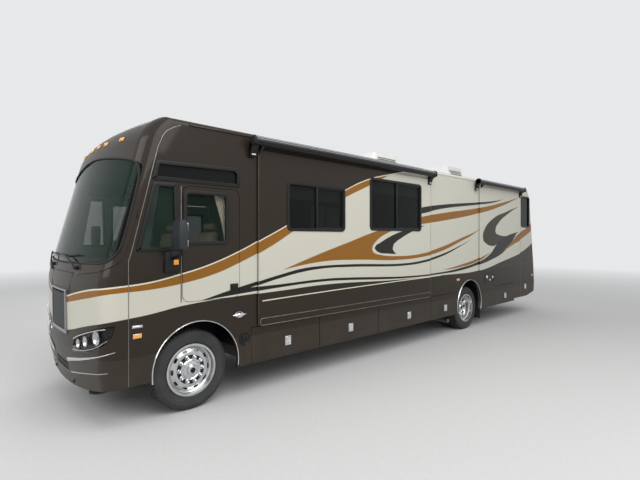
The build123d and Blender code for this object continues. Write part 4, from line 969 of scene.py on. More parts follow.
        glass.feed("Alpha", border * 0.42 + 0.58)

    def make_soft(self):
        """Shade cloth, seat leather and curtain cloth."""
        for name, colour, scale, bump in (("shade_cloth", (0.55, 0.52, 0.44), 260, 0.2),
                                          ("seat_leather", (0.36, 0.3, 0.21), 140, 0.25),
                                          ("curtain_cloth", (0.55, 0.5, 0.4), 300, 0.2)):
            cloth = Finish(name, roughness=0.7)
            cloth.feed("Base Color", cloth.speckle(colour, scale / 10, 0.14))
            cloth.bump(cloth.node("TexVoronoi", {}, {"Vector": cloth.position, "Scale": float(scale)}), bump,
                       0.002)


class MOTORHOME_OT_shell(bpy.types.Operator):
    """Finish the shell, the doors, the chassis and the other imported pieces"""
    bl_idname = "motorhome.shell"
    bl_label = "Shell and chassis"

    def execute(self, context):
        for name, nodes in NODE_FINISHES.items():
            for node in nodes:
                for material_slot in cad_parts[node].material_slots:
                    material_slot.material = FINISHES[name]
        return {"FINISHED"}


class MOTORHOME_OT_windows(bpy.types.Operator):
    """Frame the side windows, divide the sliding ones and fill the quarter windows' front corners"""
    bl_idname = "motorhome.windows"
    bl_label = "Windows"

    def execute(self, context):
        sizes = context.scene.motorhome_trim
        slide = self.framed(SLIDE_WINDOWS, 1, SLIDE_Y, sizes)
        settle(slide, "slide_window_frames", "slide_out_front", "black_satin")
        fixed, panes = self.framed(RIGHT_WINDOWS, -1, WALL_Y, sizes), []
        for side in (1, -1):
            fixed += self.framed([TAIL_WINDOW], side, WALL_Y, sizes)
            fixed += [window_frame(outline, side, WALL_Y, sizes, 0.03)
                      for outline in (QUARTER_FRAME, BROW_WINDOW)]
            corners = side_points(QUARTER_PANE, side * (WALL_Y + 0.003))
            panes.append(plate(corners[::-side], 0.002))
        settle(fixed, "window_frames", "coach", "black_satin")
        settle(panes, "quarter_window_panes", "coach", "dark_pane")
        for window, side, body in ((DOOR_WINDOW, 1, "driver_door"), (ENTRY_WINDOW, -1, "entry_door")):
            settle(self.framed([window], side, WALL_Y, sizes), body + "_frame", body, "black_satin")
        return {"FINISHED"}

    def framed(self, windows, side, wall, sizes):
        """Frames, dividers and sliding sashes of several windows."""
        pieces = []
        for front, rear, low, high, dividers in windows:
            pieces.append(window_frame(rectangle(front, rear, low, high), side, wall, sizes))
            for x in dividers:
                sash = rectangle(x + 0.012, rear + 0.028, low + 0.028, high - 0.028)
                pieces += [block((ahead(x - 0.016), side * (wall - 0.018), low),
                                 (ahead(x + 0.016), side * (wall + 0.006), high)),
                           ring(side_points(sash, side * (wall - 0.012)), 0.022, 0.014, 0.05)]
        return pieces


class MOTORHOME_OT_mouldings(bpy.types.Operator):
    """Lay the seams, mouldings and pin lines along the body sides"""
    bl_idname = "motorhome.mouldings"
    bl_label = "Seams and mouldings"

    def execute(self, context):
        seams = []
        for places, y, radius in (
                (CAP_SEAM, WALL_Y + 0.001, 0.0042), (TAIL_SEAM, WALL_Y + 0.0005, 0.003),
                (CAP_SEAM, -WALL_Y - 0.001, 0.0042), (TAIL_SEAM, -WALL_Y - 0.0005, 0.003),
                ([(0.177, 1.27), (0.177, 2.56)], WALL_Y + 0.003, 0.006),
                ([(-0.852, 0.66), (-0.852, 2.51)], -WALL_Y - 0.003, 0.006)):
            seams.append(tube(side_points(places, y), radius, False))
        settle(seams, "cap_seams", "coach", "seam_alloy")
        # The slide's mouldings and edge lines take a lighter metal than their body colour: a painted highlight
        # along them.
        lines = [prism([(SLIDE_Y - 0.002, z - 0.007), (SLIDE_Y + 0.005, z - 0.0035),
                        (SLIDE_Y + 0.005, z + 0.0035), (SLIDE_Y - 0.002, z + 0.007)],
                       ahead(-4.798), ahead(-0.888), bevel=0.0015) for z in (0.953, 0.865)]
        lines.append(tube(side_points([(-0.888, 0.953), (-0.872, 0.94), (-0.866, 0.915), (-0.872, 0.885),
                                       (-0.888, 0.87)], SLIDE_Y), 0.005))
        settle(lines, "slide_mouldings", "slide_out_front", "moulding_edge")
        edges = [tube(side_points([(x, 0.875), (x, 3.09)], SLIDE_Y + 0.0005), 0.0022, False)
                 for x in (-0.842, -4.804)]
        settle(edges, "slide_edge_lines", "slide_out_front", "moulding_edge")
        for name, *seal in (("slide_out_front", -0.84, -4.8, 0.86, 3.1),
                            ("slide_out_rear", -6.8, -9.0, 1.25, 3.15)):
            corners = side_points(grown(rectangle(*seal), -0.001), WALL_Y + 0.005)
            settle(ring(corners, 0.03, 0.006, 0.03), name + "_seal", name, "black_rubber")
        return {"FINISHED"}


class MOTORHOME_OT_nose(bpy.types.Operator):
    """Dress the nose: gasket, wipers, grille surround, lamps, chrome strips and marker lamps"""
    bl_idname = "motorhome.nose"
    bl_label = "Nose"

    def execute(self, context):
        loop = GLASS_EDGE + [(-y, z) for y, z in reversed(GLASS_EDGE[1:-1])]
        settle(tube([on_nose(y, z, 0.001) for y, z in loop], 0.011, closed=True), "windshield_gasket", "coach",
               "black_rubber")
        settle(strip_pair(CREASE, (0.03, 0.016), 0.007, 0.012, 36), "windshield_creases", "coach",
               "plain_upper")
        lines = [tube([on_nose(side * y, z, 0.0005) for y, z in ((0.41, 1.37), (0.43, 1.44), (0.472, 1.592))],
                      0.004, False) for side in (1, -1)]
        lines.append(tube([on_nose(y / 10, 1.598, 0.0005) for y in (-4.7, -4, -3, -2, -1, 0, 1, 2, 3, 4, 4.7)],
                          0.004, False))
        settle(lines, "hood_lines", "coach", "black_rubber")
        self.add_grille()
        self.add_lamps()
        strips = (strip_pair(UPPER_STRIP, (0.045, 0.008), 0.006, 0.012, 40)
                  + strip_pair(LOWER_STRIP, (0.014, 0.006), 0.005, 0.009, 40))
        hooks = [tube([(ahead(x), side * 0.42, z) for x, z in
                       ((0.88, 0.45), (1.03, 0.41), (1.05, 0.375), (1.0, 0.36))], 0.011) for side in (1, -1)]
        settle(hooks, "tow_hooks", "coach", "frame_black")
        settle(strips, "bumper_strips", "coach", "chrome")
        self.add_wipers()
        lamps = [(y, 3.115 - 0.03 * abs(y)) for y in (-0.74, -0.28, 0.0, 0.28, 0.74)]
        settle([dome(on_nose, y, z, 0.105, 0.0399, 0.022, (12, 8)) for y, z in lamps],
               "brow_lamps", "coach", "amber_lens")
        settle([dome(on_nose, y, z, 0.125, 0.0475, 0.006, (10, 4), 0.006) for y, z in lamps],
               "brow_lamp_bases", "coach", "black_satin")
        return {"FINISHED"}

    def add_grille(self):
        """Radiator mesh behind the bars, a smooth dark panel and a bright surround."""
        backs = [patch(on_nose, (12, 6), (-0.3, 0.3), heights, -0.046, 0.006)
                 for heights in ((0.94, 1.375), (0.46, 0.59))]
        settle(backs, "radiator_mesh", "coach", "radiator_mesh")
        sides = [patch(on_nose, (2, 16), (y - 0.017, y + 0.017), (0.93, 1.39), 0.019, 0.026)
                 for y in (0.318, -0.318)]
        for z, width in ((0.925, 0.042), (1.392, 0.02)):
            sides.append(nose_strip([(-0.335, z), (0.335, z)], (width, width), 0.019, 0.026))
        settle(sides, "grille_surround", "coach", "satin_alloy")
        panel = patch(on_nose, (16, 10), (-0.29, 0.29), (0.955, 1.36),
                      lambda u, v: 0.013 - 0.004 * math.sin(math.pi * v), 0.004)
        settle(panel, "grille_panel", "coach", "grille_slate")

    def add_lamps(self):
        """Dark bucket, bright reflector bowls and chrome lines in each headlamp."""
        buckets, bowls = [], []
        for side in (1, -1):
            def bucket(u, v):
                middle = 0.79 + 0.3 * u - 0.1 * u ** 2
                return on_nose(side * (0.5 + u * 0.765), middle + (v - 0.5) * 0.26, -0.044)
            buckets.append(sheet(16, 6, bucket, 0.004, 0))
            for y, z, radius in ((0.64, 0.845, 0.05), (0.83, 0.893, 0.055), (1.085, 0.965, 0.07)):
                bowls.append(turned_on(on_nose, side * y, z, -0.034, [
                    (0.008, 0.0), (radius * 0.45, 0.004), (radius * 0.8, 0.012), (radius, 0.028),
                    (radius * 1.04, 0.028), (radius * 0.84, 0.006), (radius * 0.4, -0.002), (0.008, -0.004)]))
        settle(buckets, "headlamp_buckets", "coach", "black_gloss")
        settle(bowls, "headlamp_bowls", "coach", "chrome")
        settle(strip_pair(LAMP_BROW, (0.016, 0.008), 0.014, 0.006)
               + strip_pair(LAMP_SILL, (0.009, 0.006), 0.014, 0.006), "headlamp_brows", "coach", "chrome")

    def add_wipers(self):
        """Two pivots with long arms and blades laid along the base of the glass."""
        pieces = []
        for first, last in ((0.55, -0.42), (-0.55, -1.1)):
            middle = (first + last) / 2
            blade = [(max(min(middle + share * 0.46, 1.1), -1.1), 1.775 + 0.02 * abs(share))
                     for share in (-1, -0.5, 0, 0.5, 1)]
            pieces += [rod(on_nose(first, 1.655), on_nose(first, 1.655, 0.04), 0.024, 0.004, 20, 0.018),
                       tube([on_nose(first, 1.655, 0.036), on_nose(first - 0.05, 1.69, 0.045),
                             on_nose(middle, 1.79, 0.04)], 0.009, False),
                       nose_strip(blade, (0.018, 0.018), 0.03, 0.012),
                       nose_strip(blade, (0.005, 0.005), 0.018, 0.012)]
        settle(pieces, "wipers", "coach", "black_satin")


class MOTORHOME_OT_mirrors(bpy.types.Operator):
    """Give the mirrors their glass, ribs, bases and turn lamps"""
    bl_idname = "motorhome.mirrors"
    bl_label = "Mirrors"

    def execute(self, context):
        x, y = ahead(0.292), 1.51
        glass = [plate([(x - 0.05, y + aside, z) for aside, z in reversed(outline)], 0.004, rounding)
                 for outline, rounding in (
                     ([(-0.082, 1.985), (0.082, 1.985), (0.086, 2.05), (0.076, 2.148), (-0.076, 2.148),
                       (-0.086, 2.05)], 0.02),
                     ([(-0.078, 1.89), (0.078, 1.89), (0.082, 1.968), (-0.082, 1.968)], 0.015))]
        settle(both_sides(glass), "mirror_glass", "coach", "mirror_silver")
        ribs = [tube([(x + off, y - 0.075 + step * 0.025, z) for off, z in
                      ((0.034, 1.90), (0.046, 2.0), (0.044, 2.06), (0.037, 2.14))], 0.005) for step in range(7)]
        settle(both_sides(ribs), "mirror_ribs", "coach", "slate_shell")
        foot = prism([(x - 0.085, 1.61), (x + 0.085, 1.61), (x + 0.075, 1.74), (x + 0.03, 1.84),
                      (x - 0.05, 1.84), (x - 0.085, 1.76)], WALL_Y + 0.002, WALL_Y + 0.034, "Y", 0.008)
        arm = tube([(x, WALL_Y + 0.02, 1.765), (x, WALL_Y + 0.09, 1.772), (x, y - 0.05, 1.786), (x, y, 1.80),
                    (x, y, 1.87)], 0.02)
        settle(both_sides([foot, arm]), "mirror_bases", "coach", "black_satin")
        lamp = wall_block((0.2495, 1.7175), (0.0275, 0.0275), (0.03, 0.042), 0.006, 3)
        settle(both_sides([lamp]), "mirror_lamps", "coach", "amber_lens")
        return {"FINISHED"}


class MOTORHOME_OT_hardware(bpy.types.Operator):
    """Fit latches, handles, filler, service panel and side markers"""
    bl_idname = "motorhome.hardware"
    bl_label = "Latches and fittings"

    def execute(self, context):
        for name, number, x, z in LATCHES:
            body = f"bay_door_{name}_{number}"
            settle(self.latch(x, z, dict(SIDES)[name]), body + "_latch", body, "bright_latch")
        pair = self.latch(-9.4, 0.71, 1) + self.latch(-9.4, 0.71, -1)
        settle(pair, "rear_cap_latches", "coach", "bright_latch")
        self.add_door_handles()
        self.add_markers()
        self.add_filler()
        self.add_service_panel()
        return {"FINISHED"}

    def latch(self, x, z, side):
        """A square dished latch with a round barrel and a small pull."""
        dish = inset(wall_block((x, z), (0.05, 0.0625), (-0.002, 0.01), 0),
                     lambda polygon: polygon.normal.y > 0.9, (0.01, 0), (0.008, -0.008))
        barrel = lathe((ahead(x), WALL_Y + 0.003, z + 0.026), [
            (0.0005, 0.012), (0.01, 0.012), (0.016, 0.009), (0.017, 0.0), (0.0005, 0.0)], 24)
        pull = wall_block((x, z - 0.0255), (0.033, 0.0195), (0.001, 0.013), 0.005, 3)
        return [on_side(piece, side) for piece in (soften(dish, 0.004, 3), barrel, pull)]

    def add_door_handles(self):
        """Paddle latches of both doors, and the grab handles beside them."""
        for side, body, x, z in ((1, "driver_door", -0.499, 1.389), (-1, "entry_door", -1.43, 1.38)):
            pair = [wall_block((x, z), (0.055, 0.04), (-0.002, 0.012), 0.006, 3),
                    wall_block((x, z + 0.009), (0.04, 0.013), (0.01, 0.024), 0.005, 3)]
            settle([on_side(piece, side) for piece in pair], body + "_latch", body, "black_satin")

        def bow(u, v):
            swell = math.sin(math.pi * u)
            return (ahead(-0.475 - 0.195 * u), WALL_Y + 0.01 + 0.022 * swell + 0.006 * math.sin(math.pi * v),
                    1.04 + (v - 0.5) * (0.012 + 0.03 * swell ** 2))
        dish = lathe((0, 0, 0), [
            (0.034, -0.001), (0.042, 0.007), (0.046, 0.006), (0.05, 0.0), (0.034, -0.001)], 40)
        dish.data.transform(
            Matrix.Translation((ahead(-0.572), WALL_Y, 1.04)) @ Matrix.Diagonal((1.2, 1, 0.8, 1)))
        feet = [lathe((ahead(x), WALL_Y - 0.001, 1.04), [
            (0.0005, 0.014), (0.008, 0.014), (0.012, 0.006), (0.013, 0), (0.0005, 0)], 24)
            for x in (-0.49, -0.655)]
        settle([sheet(24, 6, bow, 0.006), dish] + feet, "driver_grab", "coach", "chrome")
        rail = tube([(ahead(-1.6), -WALL_Y - out, z) for out, z in
                     ((0.005, 1.05), (0.06, 1.09), (0.065, 1.5), (0.06, 1.91), (0.005, 1.95))], 0.014)
        feet = [rod((ahead(-1.6), -WALL_Y, z), (ahead(-1.6), -WALL_Y - 0.014, z), 0.03, 0.004)
                for z in (1.05, 1.95)]
        settle([rail] + feet, "entry_grab", "coach", "chrome")

    def add_markers(self):
        """Side markers and reflectors: lens blocks on chrome backs, given by half their length and height."""
        backs, ambers, reds = [], [], []
        for side in (1, -1):
            for x, z, wide, high, group in (
                    (0.653, 1.066, 0.0475, 0.008, backs), (0.653, 0.968, 0.039, 0.019, ambers),
                    (-5.884, 1.116, 0.045, 0.0175, ambers), (-9.85, 0.98, 0.045, 0.02, reds)):
                backs.append(on_side(
                    wall_block((x, z), (wide + 0.006, high + 0.006), (-0.001, 0.006), 0.003), side))
                group.append(on_side(wall_block((x, z), (wide, high), (-0.002, 0.014), 0.005, 3), side))
        settle(backs, "marker_backs", "coach", "chrome")
        settle(ambers, "marker_ambers", "coach", "amber_lens")
        settle(reds, "marker_reds", "coach", "red_lens")

    def add_filler(self):
        """Round fuel filler dish behind the front wheel."""
        x, z = -0.649, 0.727
        dish = lathe((ahead(x), WALL_Y, z), [
            (0.078, 0.0), (0.08, 0.007), (0.07, 0.009), (0.062, 0.002), (0.06, -0.0005), (0.05, -0.001),
            (0.049, 0.006), (0.03, 0.01), (0.0005, 0.01)], 48)
        settle([dish, wall_block((x, z), (0.04, 0.008), (0.008, 0.02))], "fuel_filler", "coach", "black_satin")

    def add_service_panel(self):
        """Water and power service panel with its round fittings."""
        edge = ring(side_points(rectangle(-7.095, -7.55, 0.957, 1.164), WALL_Y + 0.003), 0.014, 0.008, 0.02)
        settle(edge, "service_frame", "coach", "plain_skirt")
        fittings = [lathe((ahead(x), WALL_Y, z), [
            (radius, 0.0), (radius, 0.007), (radius * 0.86, 0.01), (radius * 0.7, 0.004), (radius * 0.5, 0.004),
            (radius * 0.45, 0.012), (0.0005, 0.013)], 36)
            for x, z, radius in ((-7.19, 1.094, 0.036), (-7.48, 1.076, 0.03), (-7.34, 1.02, 0.022))]
        settle(fittings, "service_fittings", "coach", "white_moulding")


class MOTORHOME_OT_arches(bpy.types.Operator):
    """Line the wheel arches with bright trim"""
    bl_idname = "motorhome.arches"
    bl_label = "Wheel arch trim"

    def execute(self, context):
        height = context.scene.motorhome_trim.trim_radius
        trims = [self.trim(side, height, *arch) for side in (1, -1)
                 for arch in ((-0.03, 0.505, 0.527, 0.43), (-6.39, 0.56, 0.519, 0.405))]
        settle(trims, "arch_trims", "coach", "chrome")
        return {"FINISHED"}

    def trim(self, side, height, x, z, radius, low):
        """A bead round one arch: the arch's middle, its radius, and how low the bead starts and ends."""
        first = -math.asin((z - low) / radius)
        section = [(-0.003, -0.014), (-0.003, height * 0.6), (0.003, height), (0.007, height * 0.6),
                   (0.009, 0.0)]

        def place(u, v):
            turn = first + (math.pi - 2 * first) * u
            rise, out = section[round(v * 4)]
            return (ahead(x) + (radius + rise) * math.cos(turn), side * (WALL_Y + out),
                    z + (radius + rise) * math.sin(turn))
        strip = sheet(40, 4, place, 0.0)
        only(strip)
        edit()
        leave(outwards=True)
        return add_modifier(strip, "SOLIDIFY", thickness=0.003, offset=0)


class MOTORHOME_OT_tyres(bpy.types.Operator):
    """Model a tyre with a grooved and slit tread, and put one on each rim"""
    bl_idname = "motorhome.tyres"
    bl_label = "Tyres"

    def execute(self, context):
        pattern = self.tyre(context.scene.motorhome_wheels)
        for axle, x, places in (("front", FRONT_X, (1.066,)), ("rear", REAR_X, (1.066, 0.784))):
            for name, side in SIDES:
                tyres = [duplicate(pattern, Matrix.Translation((x, side * y, WHEEL_Z))) for y in places]
                settle(tyres, f"{axle}_treaded_tyre_{name}", WHEEL_BODIES[axle] + name, "tyre",
                       replaced=(f"{axle}_tyre_{name}",))
        bpy.data.objects.remove(pattern)
        return {"FINISHED"}

    def tyre(self, sizes):
        """One tyre about the origin, turned from its section and cut across both shoulders."""
        half, bottom = list(TYRE_HALF), TREAD_R - sizes.groove_depth
        for groove in (0.056, 0.024):
            half += [(TREAD_R, groove), (bottom, groove - 0.0015), (bottom, groove - 0.0085),
                     (TREAD_R + 0.0001, groove - 0.01)]
        profile = half + [(radius, -along) for radius, along in reversed(half)]
        profile += [(0.286, -0.05), (0.286, 0.05), (0.286, 0.086)]
        steps = sizes.tread_blocks * 4

        def slit(polygon):
            x, y, z = polygon.center
            column = int((math.atan2(z, x) / (2 * math.pi) + 1) * steps + 0.001) % 4
            return column == 0 and math.hypot(x, z) > 0.44 and abs(y) > 0.056
        return inset(lathe((0, 0, 0), profile, steps), slit, (0.0005, -0.009))


class MOTORHOME_OT_wheel_trim(bpy.types.Operator):
    """Put the chrome nuts, hub rings and dark hub discs on the wheels"""
    bl_idname = "motorhome.wheel_trim"
    bl_label = "Wheel trim"

    def execute(self, context):
        nuts = context.scene.motorhome_wheels.nuts
        for name, side in SIDES:
            for axle, x, face_y, radius, cap_y, cap_r in (("front", FRONT_X, 1.148, 0.143, 1.202, 0.052),
                                                          ("rear", REAR_X, 1.013, 0.118, 1.081, 0.068)):
                middle = (x, face_y, WHEEL_Z)
                about = Matrix.Translation(middle)
                nut = lathe((x + radius, face_y, WHEEL_Z), [
                    (0.0005, 0.044), (0.01, 0.042), (0.017, 0.034), (0.02, 0.01), (0.0245, 0.006),
                    (0.025, 0.001), (0.0005, 0.0)], 16)
                trim = [nut] + [duplicate(nut, about @ Matrix.Rotation(2 * math.pi * share / nuts, 4, "Y")
                                          @ about.inverted()) for share in range(1, nuts)]
                trim.append(lathe(middle, [
                    (0.098, 0.0), (0.1, 0.012), (0.108, 0.018), (0.117, 0.012), (0.12, 0.0), (0.098, 0.0)]))
                trim.append(lathe((x, cap_y, WHEEL_Z), [
                    (cap_r * 0.9, -0.004), (cap_r * 0.9, 0.003), (cap_r * 0.72, 0.006),
                    (cap_r * 0.66, 0.002), (0.0005, 0.003), (0.0005, -0.004), (cap_r * 0.9, -0.004)], 48))
                discs = [
                    lathe((x, cap_y + 0.0032, WHEEL_Z), [
                        (cap_r * 0.6, 0.0), (cap_r * 0.58, 0.002), (0.0005, 0.003), (0.0005, 0.0),
                        (cap_r * 0.6, 0.0)], 40),
                    lathe(middle, [
                        (radius - 0.02, 0.0), (radius - 0.019, 0.0015), (radius + 0.024, 0.0015),
                        (radius + 0.026, 0.0), (radius - 0.02, 0.0)])]
                for pieces, kind, finish in ((trim, "nuts", "chrome"), (discs, "hub_disc", "black_gloss")):
                    settle([on_side(piece, side) for piece in pieces], f"{axle}_{kind}_{name}",
                           WHEEL_BODIES[axle] + name, finish)
        return {"FINISHED"}


class MOTORHOME_OT_toppers(bpy.types.Operator):
    """Cover the slide-out rollers, and fit caps and arms to the rolled awning on the far side"""
    bl_idname = "motorhome.toppers"
    bl_label = "Toppers and awning"

    def execute(self, context):
        self.add_topper("slide_out_front", -0.7, -4.815, 3.19)
        self.add_topper("slide_out_rear", -6.56, -9.04, 3.222)
        self.add_awning()
        return {"FINISHED"}

    def add_topper(self, name, front, rear, z):
        """Rounded cover with two bright lines (its silver top edge and a painted highlight along the dark
        roll), end caps, and two brackets with small lamps.
        """
        y = 1.385
        ends = (ahead(rear + 0.03), ahead(front - 0.03))

        def about(*places):
            return [(y + out, z + up) for out, up in places]

        def arc(radius, turns):
            return about(*((radius * math.cos(turn), radius * math.sin(turn))
                           for turn in map(math.radians, turns)))
        cover = prism(arc(0.056, range(-10, 171, 15)) + arc(0.053, range(170, -11, -15)), *ends)
        settle(cover, name + "_topper_cover", name, "topper_case")
        cap = about((0.062, -0.04), (0.062, 0.035), (0.03, 0.066), (-0.03, 0.066), (-0.062, 0.03),
                    (-0.072, -0.1), (-0.05, -0.13), (-0.03, -0.07))
        bracket = [(WALL_Y + 0.03, z - 0.19), (WALL_Y + 0.05, z - 0.19), (y - 0.02, z - 0.08),
                   (y + 0.02, z - 0.03), (y - 0.05, z - 0.01), (WALL_Y + 0.03, z - 0.02)]
        caps = [prism(cap, ahead(x - 0.03), ahead(x), bevel=0.005) for x in (front, rear + 0.03)]
        caps += [prism(bracket, ahead(x), ahead(x + 0.1), bevel=0.006) for x in (front - 0.1, rear + 0.02)]
        caps.append(prism(about((0.05, -0.02), (0.058, -0.016), (0.058, 0.004), (0.05, 0.004)), *ends))
        lamps = [wall_block((x, z - 0.155), (0.03, 0.015), (0.045, 0.062), 0.005, 3)
                 for x in (front - 0.05, rear + 0.07)]
        # Two bright metal lines: the cover's silver top edge, and a painted highlight along the dark roll.
        lines = [tube([(x, y + 0.057 * math.cos(turn), z + 0.057 * math.sin(turn)) for x in ends], size, False)
                 for turn, size in ((1.2, 0.005), (0.45, 0.003))]
        settle(lines, name + "_topper_lines", name, "bright_latch")
        settle(lamps, name + "_topper_lamps", name, "white_lens")
        settle(caps, name + "_topper_caps", name, "black_satin")

    def add_awning(self):
        """End caps and folded arms of the patio awning."""
        front, rear, y, z = -0.79, -5.69, -1.36, 3.11
        cap = [(y - 0.064, z - 0.05), (y - 0.064, z + 0.05), (y - 0.02, z + 0.066), (y + 0.06, z + 0.066),
               (y + 0.078, z + 0.03), (y + 0.078, z - 0.06)]
        arms = [prism(cap, ahead(x - 0.03), ahead(x), bevel=0.005) for x in (front, rear + 0.03)]
        arms += [block((ahead(x - 0.018), -WALL_Y - 0.058, low),
                       (ahead(x + 0.018), -WALL_Y - 0.04, high), 0.003)
                 for x in (front - 0.03, rear + 0.03) for low, high in ((1.12, 2.05), (2.1, 3.04))]
        settle(arms, "awning_arms", "coach", "satin_alloy")


class MOTORHOME_OT_roof(bpy.types.Operator):
    """Dress the roof: louvres, vents, dome, aerial and gutter rails"""
    bl_idname = "motorhome.roof"
    bl_label = "Roof"

    def execute(self, context):
        self.add_louvres()
        self.add_vents()
        self.add_rails()
        return {"FINISHED"}

    def add_louvres(self):
        """Slatted intakes along both air conditioners."""
        slats = []
        for x, length, width, height in ((-4.75, 1.05, 0.68, 0.385), (-7.5, 1.0, 0.7, 0.43)):
            for side in (1, -1):
                for step in range(7):
                    z = 3.36 + height * (0.18 + 0.09 * step)
                    lean = (z - 3.345) / height
                    y = width / 2 - 0.08 * lean + 0.002
                    run = length / 2 - 0.13 * lean - 0.14
                    slats.append(prism([(side * (y - 0.012), z - 0.009), (side * (y + 0.008), z - 0.012),
                                        (side * (y + 0.005), z + 0.004), (side * (y - 0.012), z + 0.009)],
                                       ahead(x - 0.02 - run), ahead(x - 0.02 + run), bevel=0.002))
        settle(slats, "roof_louvres", "coach", "dark_shroud")

    def add_vents(self):
        """Three lidded roof vents, a satellite dome, a slatted vent and an aerial."""
        pieces = []
        for x, y in ((-2.6, 0.25), (-6.1, -0.3), (-8.9, 0.2)):
            crown = 3.345 - 0.04 * y * y
            pieces.append(block((ahead(x - 0.2), y - 0.2, crown - 0.01),
                                (ahead(x + 0.2), y + 0.2, crown + 0.035), 0.008))
            lid = block((ahead(x - 0.21), y - 0.21, crown + 0.035),
                        (ahead(x + 0.21), y + 0.21, crown + 0.085), 0)
            pieces.append(soften(inset(lid, lambda polygon: polygon.normal.z > 0.9, (0.06, 0.035)), 0.012, 3))
        pieces.append(lathe((ahead(-6.75), 0.42, 3.33), [
            (0.0005, 0.26), (0.06, 0.255), (0.12, 0.235), (0.165, 0.2), (0.19, 0.15), (0.198, 0.09), (0.2, 0.0),
            (0.0005, 0.0)], 48, "Z"))
        pieces += [block((ahead(-3.75), -0.62, z), (ahead(-3.45), -0.3, z + 0.012), 0.005)
                   for z in (3.325 + 0.022 * step for step in range(5))]
        settle(pieces, "roof_vents", "coach", "white_moulding")
        aerial = [block((ahead(-1.55), -0.1, 3.34), (ahead(-1.3), 0.1, 3.38), 0.01),
                  tube([(ahead(-1.42), 0, 3.37), (ahead(-1.5), 0, 3.43), (ahead(-1.7), 0, 3.445)], 0.014),
                  tube([(ahead(-1.7), -0.42, 3.43), (ahead(-1.7), 0, 3.45), (ahead(-1.7), 0.42, 3.43)], 0.016)]
        settle(aerial, "roof_aerial", "coach", "satin_alloy")

    def add_rails(self):
        """Gutter rails along both roof edges, pale behind the cab and painted over it."""
        for name, finish, rear, front in (("gutter_rails", "pale_rail", -9.05, -0.86),
                                          ("gutter_fronts", "plain_upper", -0.858, 0.08)):
            rails = [prism([(side * (WALL_Y - 0.004), 3.242), (side * (WALL_Y + 0.011), 3.244),
                            (side * (WALL_Y + 0.01), 3.262), (side * (WALL_Y - 0.006), 3.268)],
                           ahead(rear), ahead(front), bevel=0.003) for side in (1, -1)]
            settle(rails, name, "coach", finish)


class MOTORHOME_OT_tail(bpy.types.Operator):
    """Dress the rear: lamp bezels, marker lamps, ribs, hatch, bumper lip and plate holder"""
    bl_idname = "motorhome.tail"
    bl_label = "Rear"

    def execute(self, context):
        self.add_lamps()
        self.add_mouldings()
        self.add_plate()
        return {"FINISHED"}

    def loop(self, corners, shares, lift, radius):
        """A thin closed line on the tail round a rectangle, through the same shares of each edge."""
        return tube([on_tail(y0 + (y1 - y0) * share, z0 + (z1 - z0) * share, lift)
                     for (y0, z0), (y1, z1) in zip(corners, corners[1:] + corners[:1]) for share in shares],
                    radius, closed=True)

    def add_lamps(self):
        """Bright bezels and ringed lenses over both tail lamps, five clearance lamps and a brake lamp."""
        bezels, clears, reds = [], [], []
        for side in (1, -1):
            bezels.append(self.loop(rectangle(side * 0.99, side * 1.13, 1.0, 1.32), (0.12, 0.37, 0.63, 0.88),
                                    0.003, 0.008))
            for z, group in ((1.065, reds), (1.16, clears), (1.255, reds)):
                bezels.append(turned_on(on_tail, side * 1.06, z, 0.0, [
                    (0.034, 0.0), (0.036, 0.007), (0.041, 0.007), (0.044, 0.0), (0.034, 0.0)]))
                group.append(turned_on(on_tail, side * 1.06, z, 0.0, [
                    (0.033, 0.0), (0.03, 0.006), (0.018, 0.01), (0.0005, 0.011), (0.0005, 0.0), (0.033, 0.0)]))
        reds += [dome(on_tail, y, 3.1 - 0.02 * abs(y), -0.11, 0.036, 0.018, (10, 6))
                 for y in (-0.62, -0.2, 0.0, 0.2, 0.62)]
        reds.append(dome(on_tail, 0, 2.97, -0.4, 0.03, 0.012, (16, 4)))
        settle(bezels, "tail_lamp_bezels", "coach", "chrome")
        settle(clears, "tail_reverse_lamps", "coach", "white_lens")
        settle(reds, "tail_red_lamps", "coach", "red_lens")

    def add_mouldings(self):
        """Horizontal ribs that wrap the lower corners, the hatch's outline and pulls, and the bumper's lip."""
        ribs = [tube([(ahead(x), side * (WALL_Y + 0.001), z) for x in (-9.16, -9.4, -9.7, -9.9)]
                     + [on_tail(side * y, z, 0.002) for y in (1.27, 1.22, 1.12, 0.95)], 0.006, False)
                for z in (1.425, 1.225, 1.145) for side in (1, -1)]
        settle(ribs, "tail_ribs", "coach", "plain_skirt")
        hatch = self.loop(rectangle(-0.62, 0.62, 0.78, 1.42), (0.05, 0.2, 0.4, 0.6, 0.8, 0.95), 0.0, 0.0045)
        settle(hatch, "tail_hatch_line", "coach", "black_rubber")
        lip = patch(on_tail, (36, 3), (1.2, -1.2), (0.63, 0.705),
                    lambda u, v: 0.012 + 0.01 * math.sin(math.pi * v), 0.014)
        settle(lip, "tail_bumper_lip", "coach", "plain_skirt")
        pulls = [block((ahead(-10.215), y - 0.05, 1.33), (ahead(-10.17), y + 0.05, 1.37), 0.008, 3)
                 for y in (-0.45, 0.45)]
        settle(pulls, "tail_hatch_pulls", "coach", "chrome")

    def add_plate(self):
        """Blank plate in a black holder."""
        holder = patch(on_tail, (8, 4), (0.17, -0.17), (0.8, 0.97), 0.008, 0.01)
        settle(soften(holder, 0.003), "plate_holder", "coach", "black_satin")
        blank = patch(on_tail, (8, 4), (0.1525, -0.1525), (0.808, 0.96), 0.012, 0.002)
        settle(blank, "blank_plate", "coach", "white_moulding")


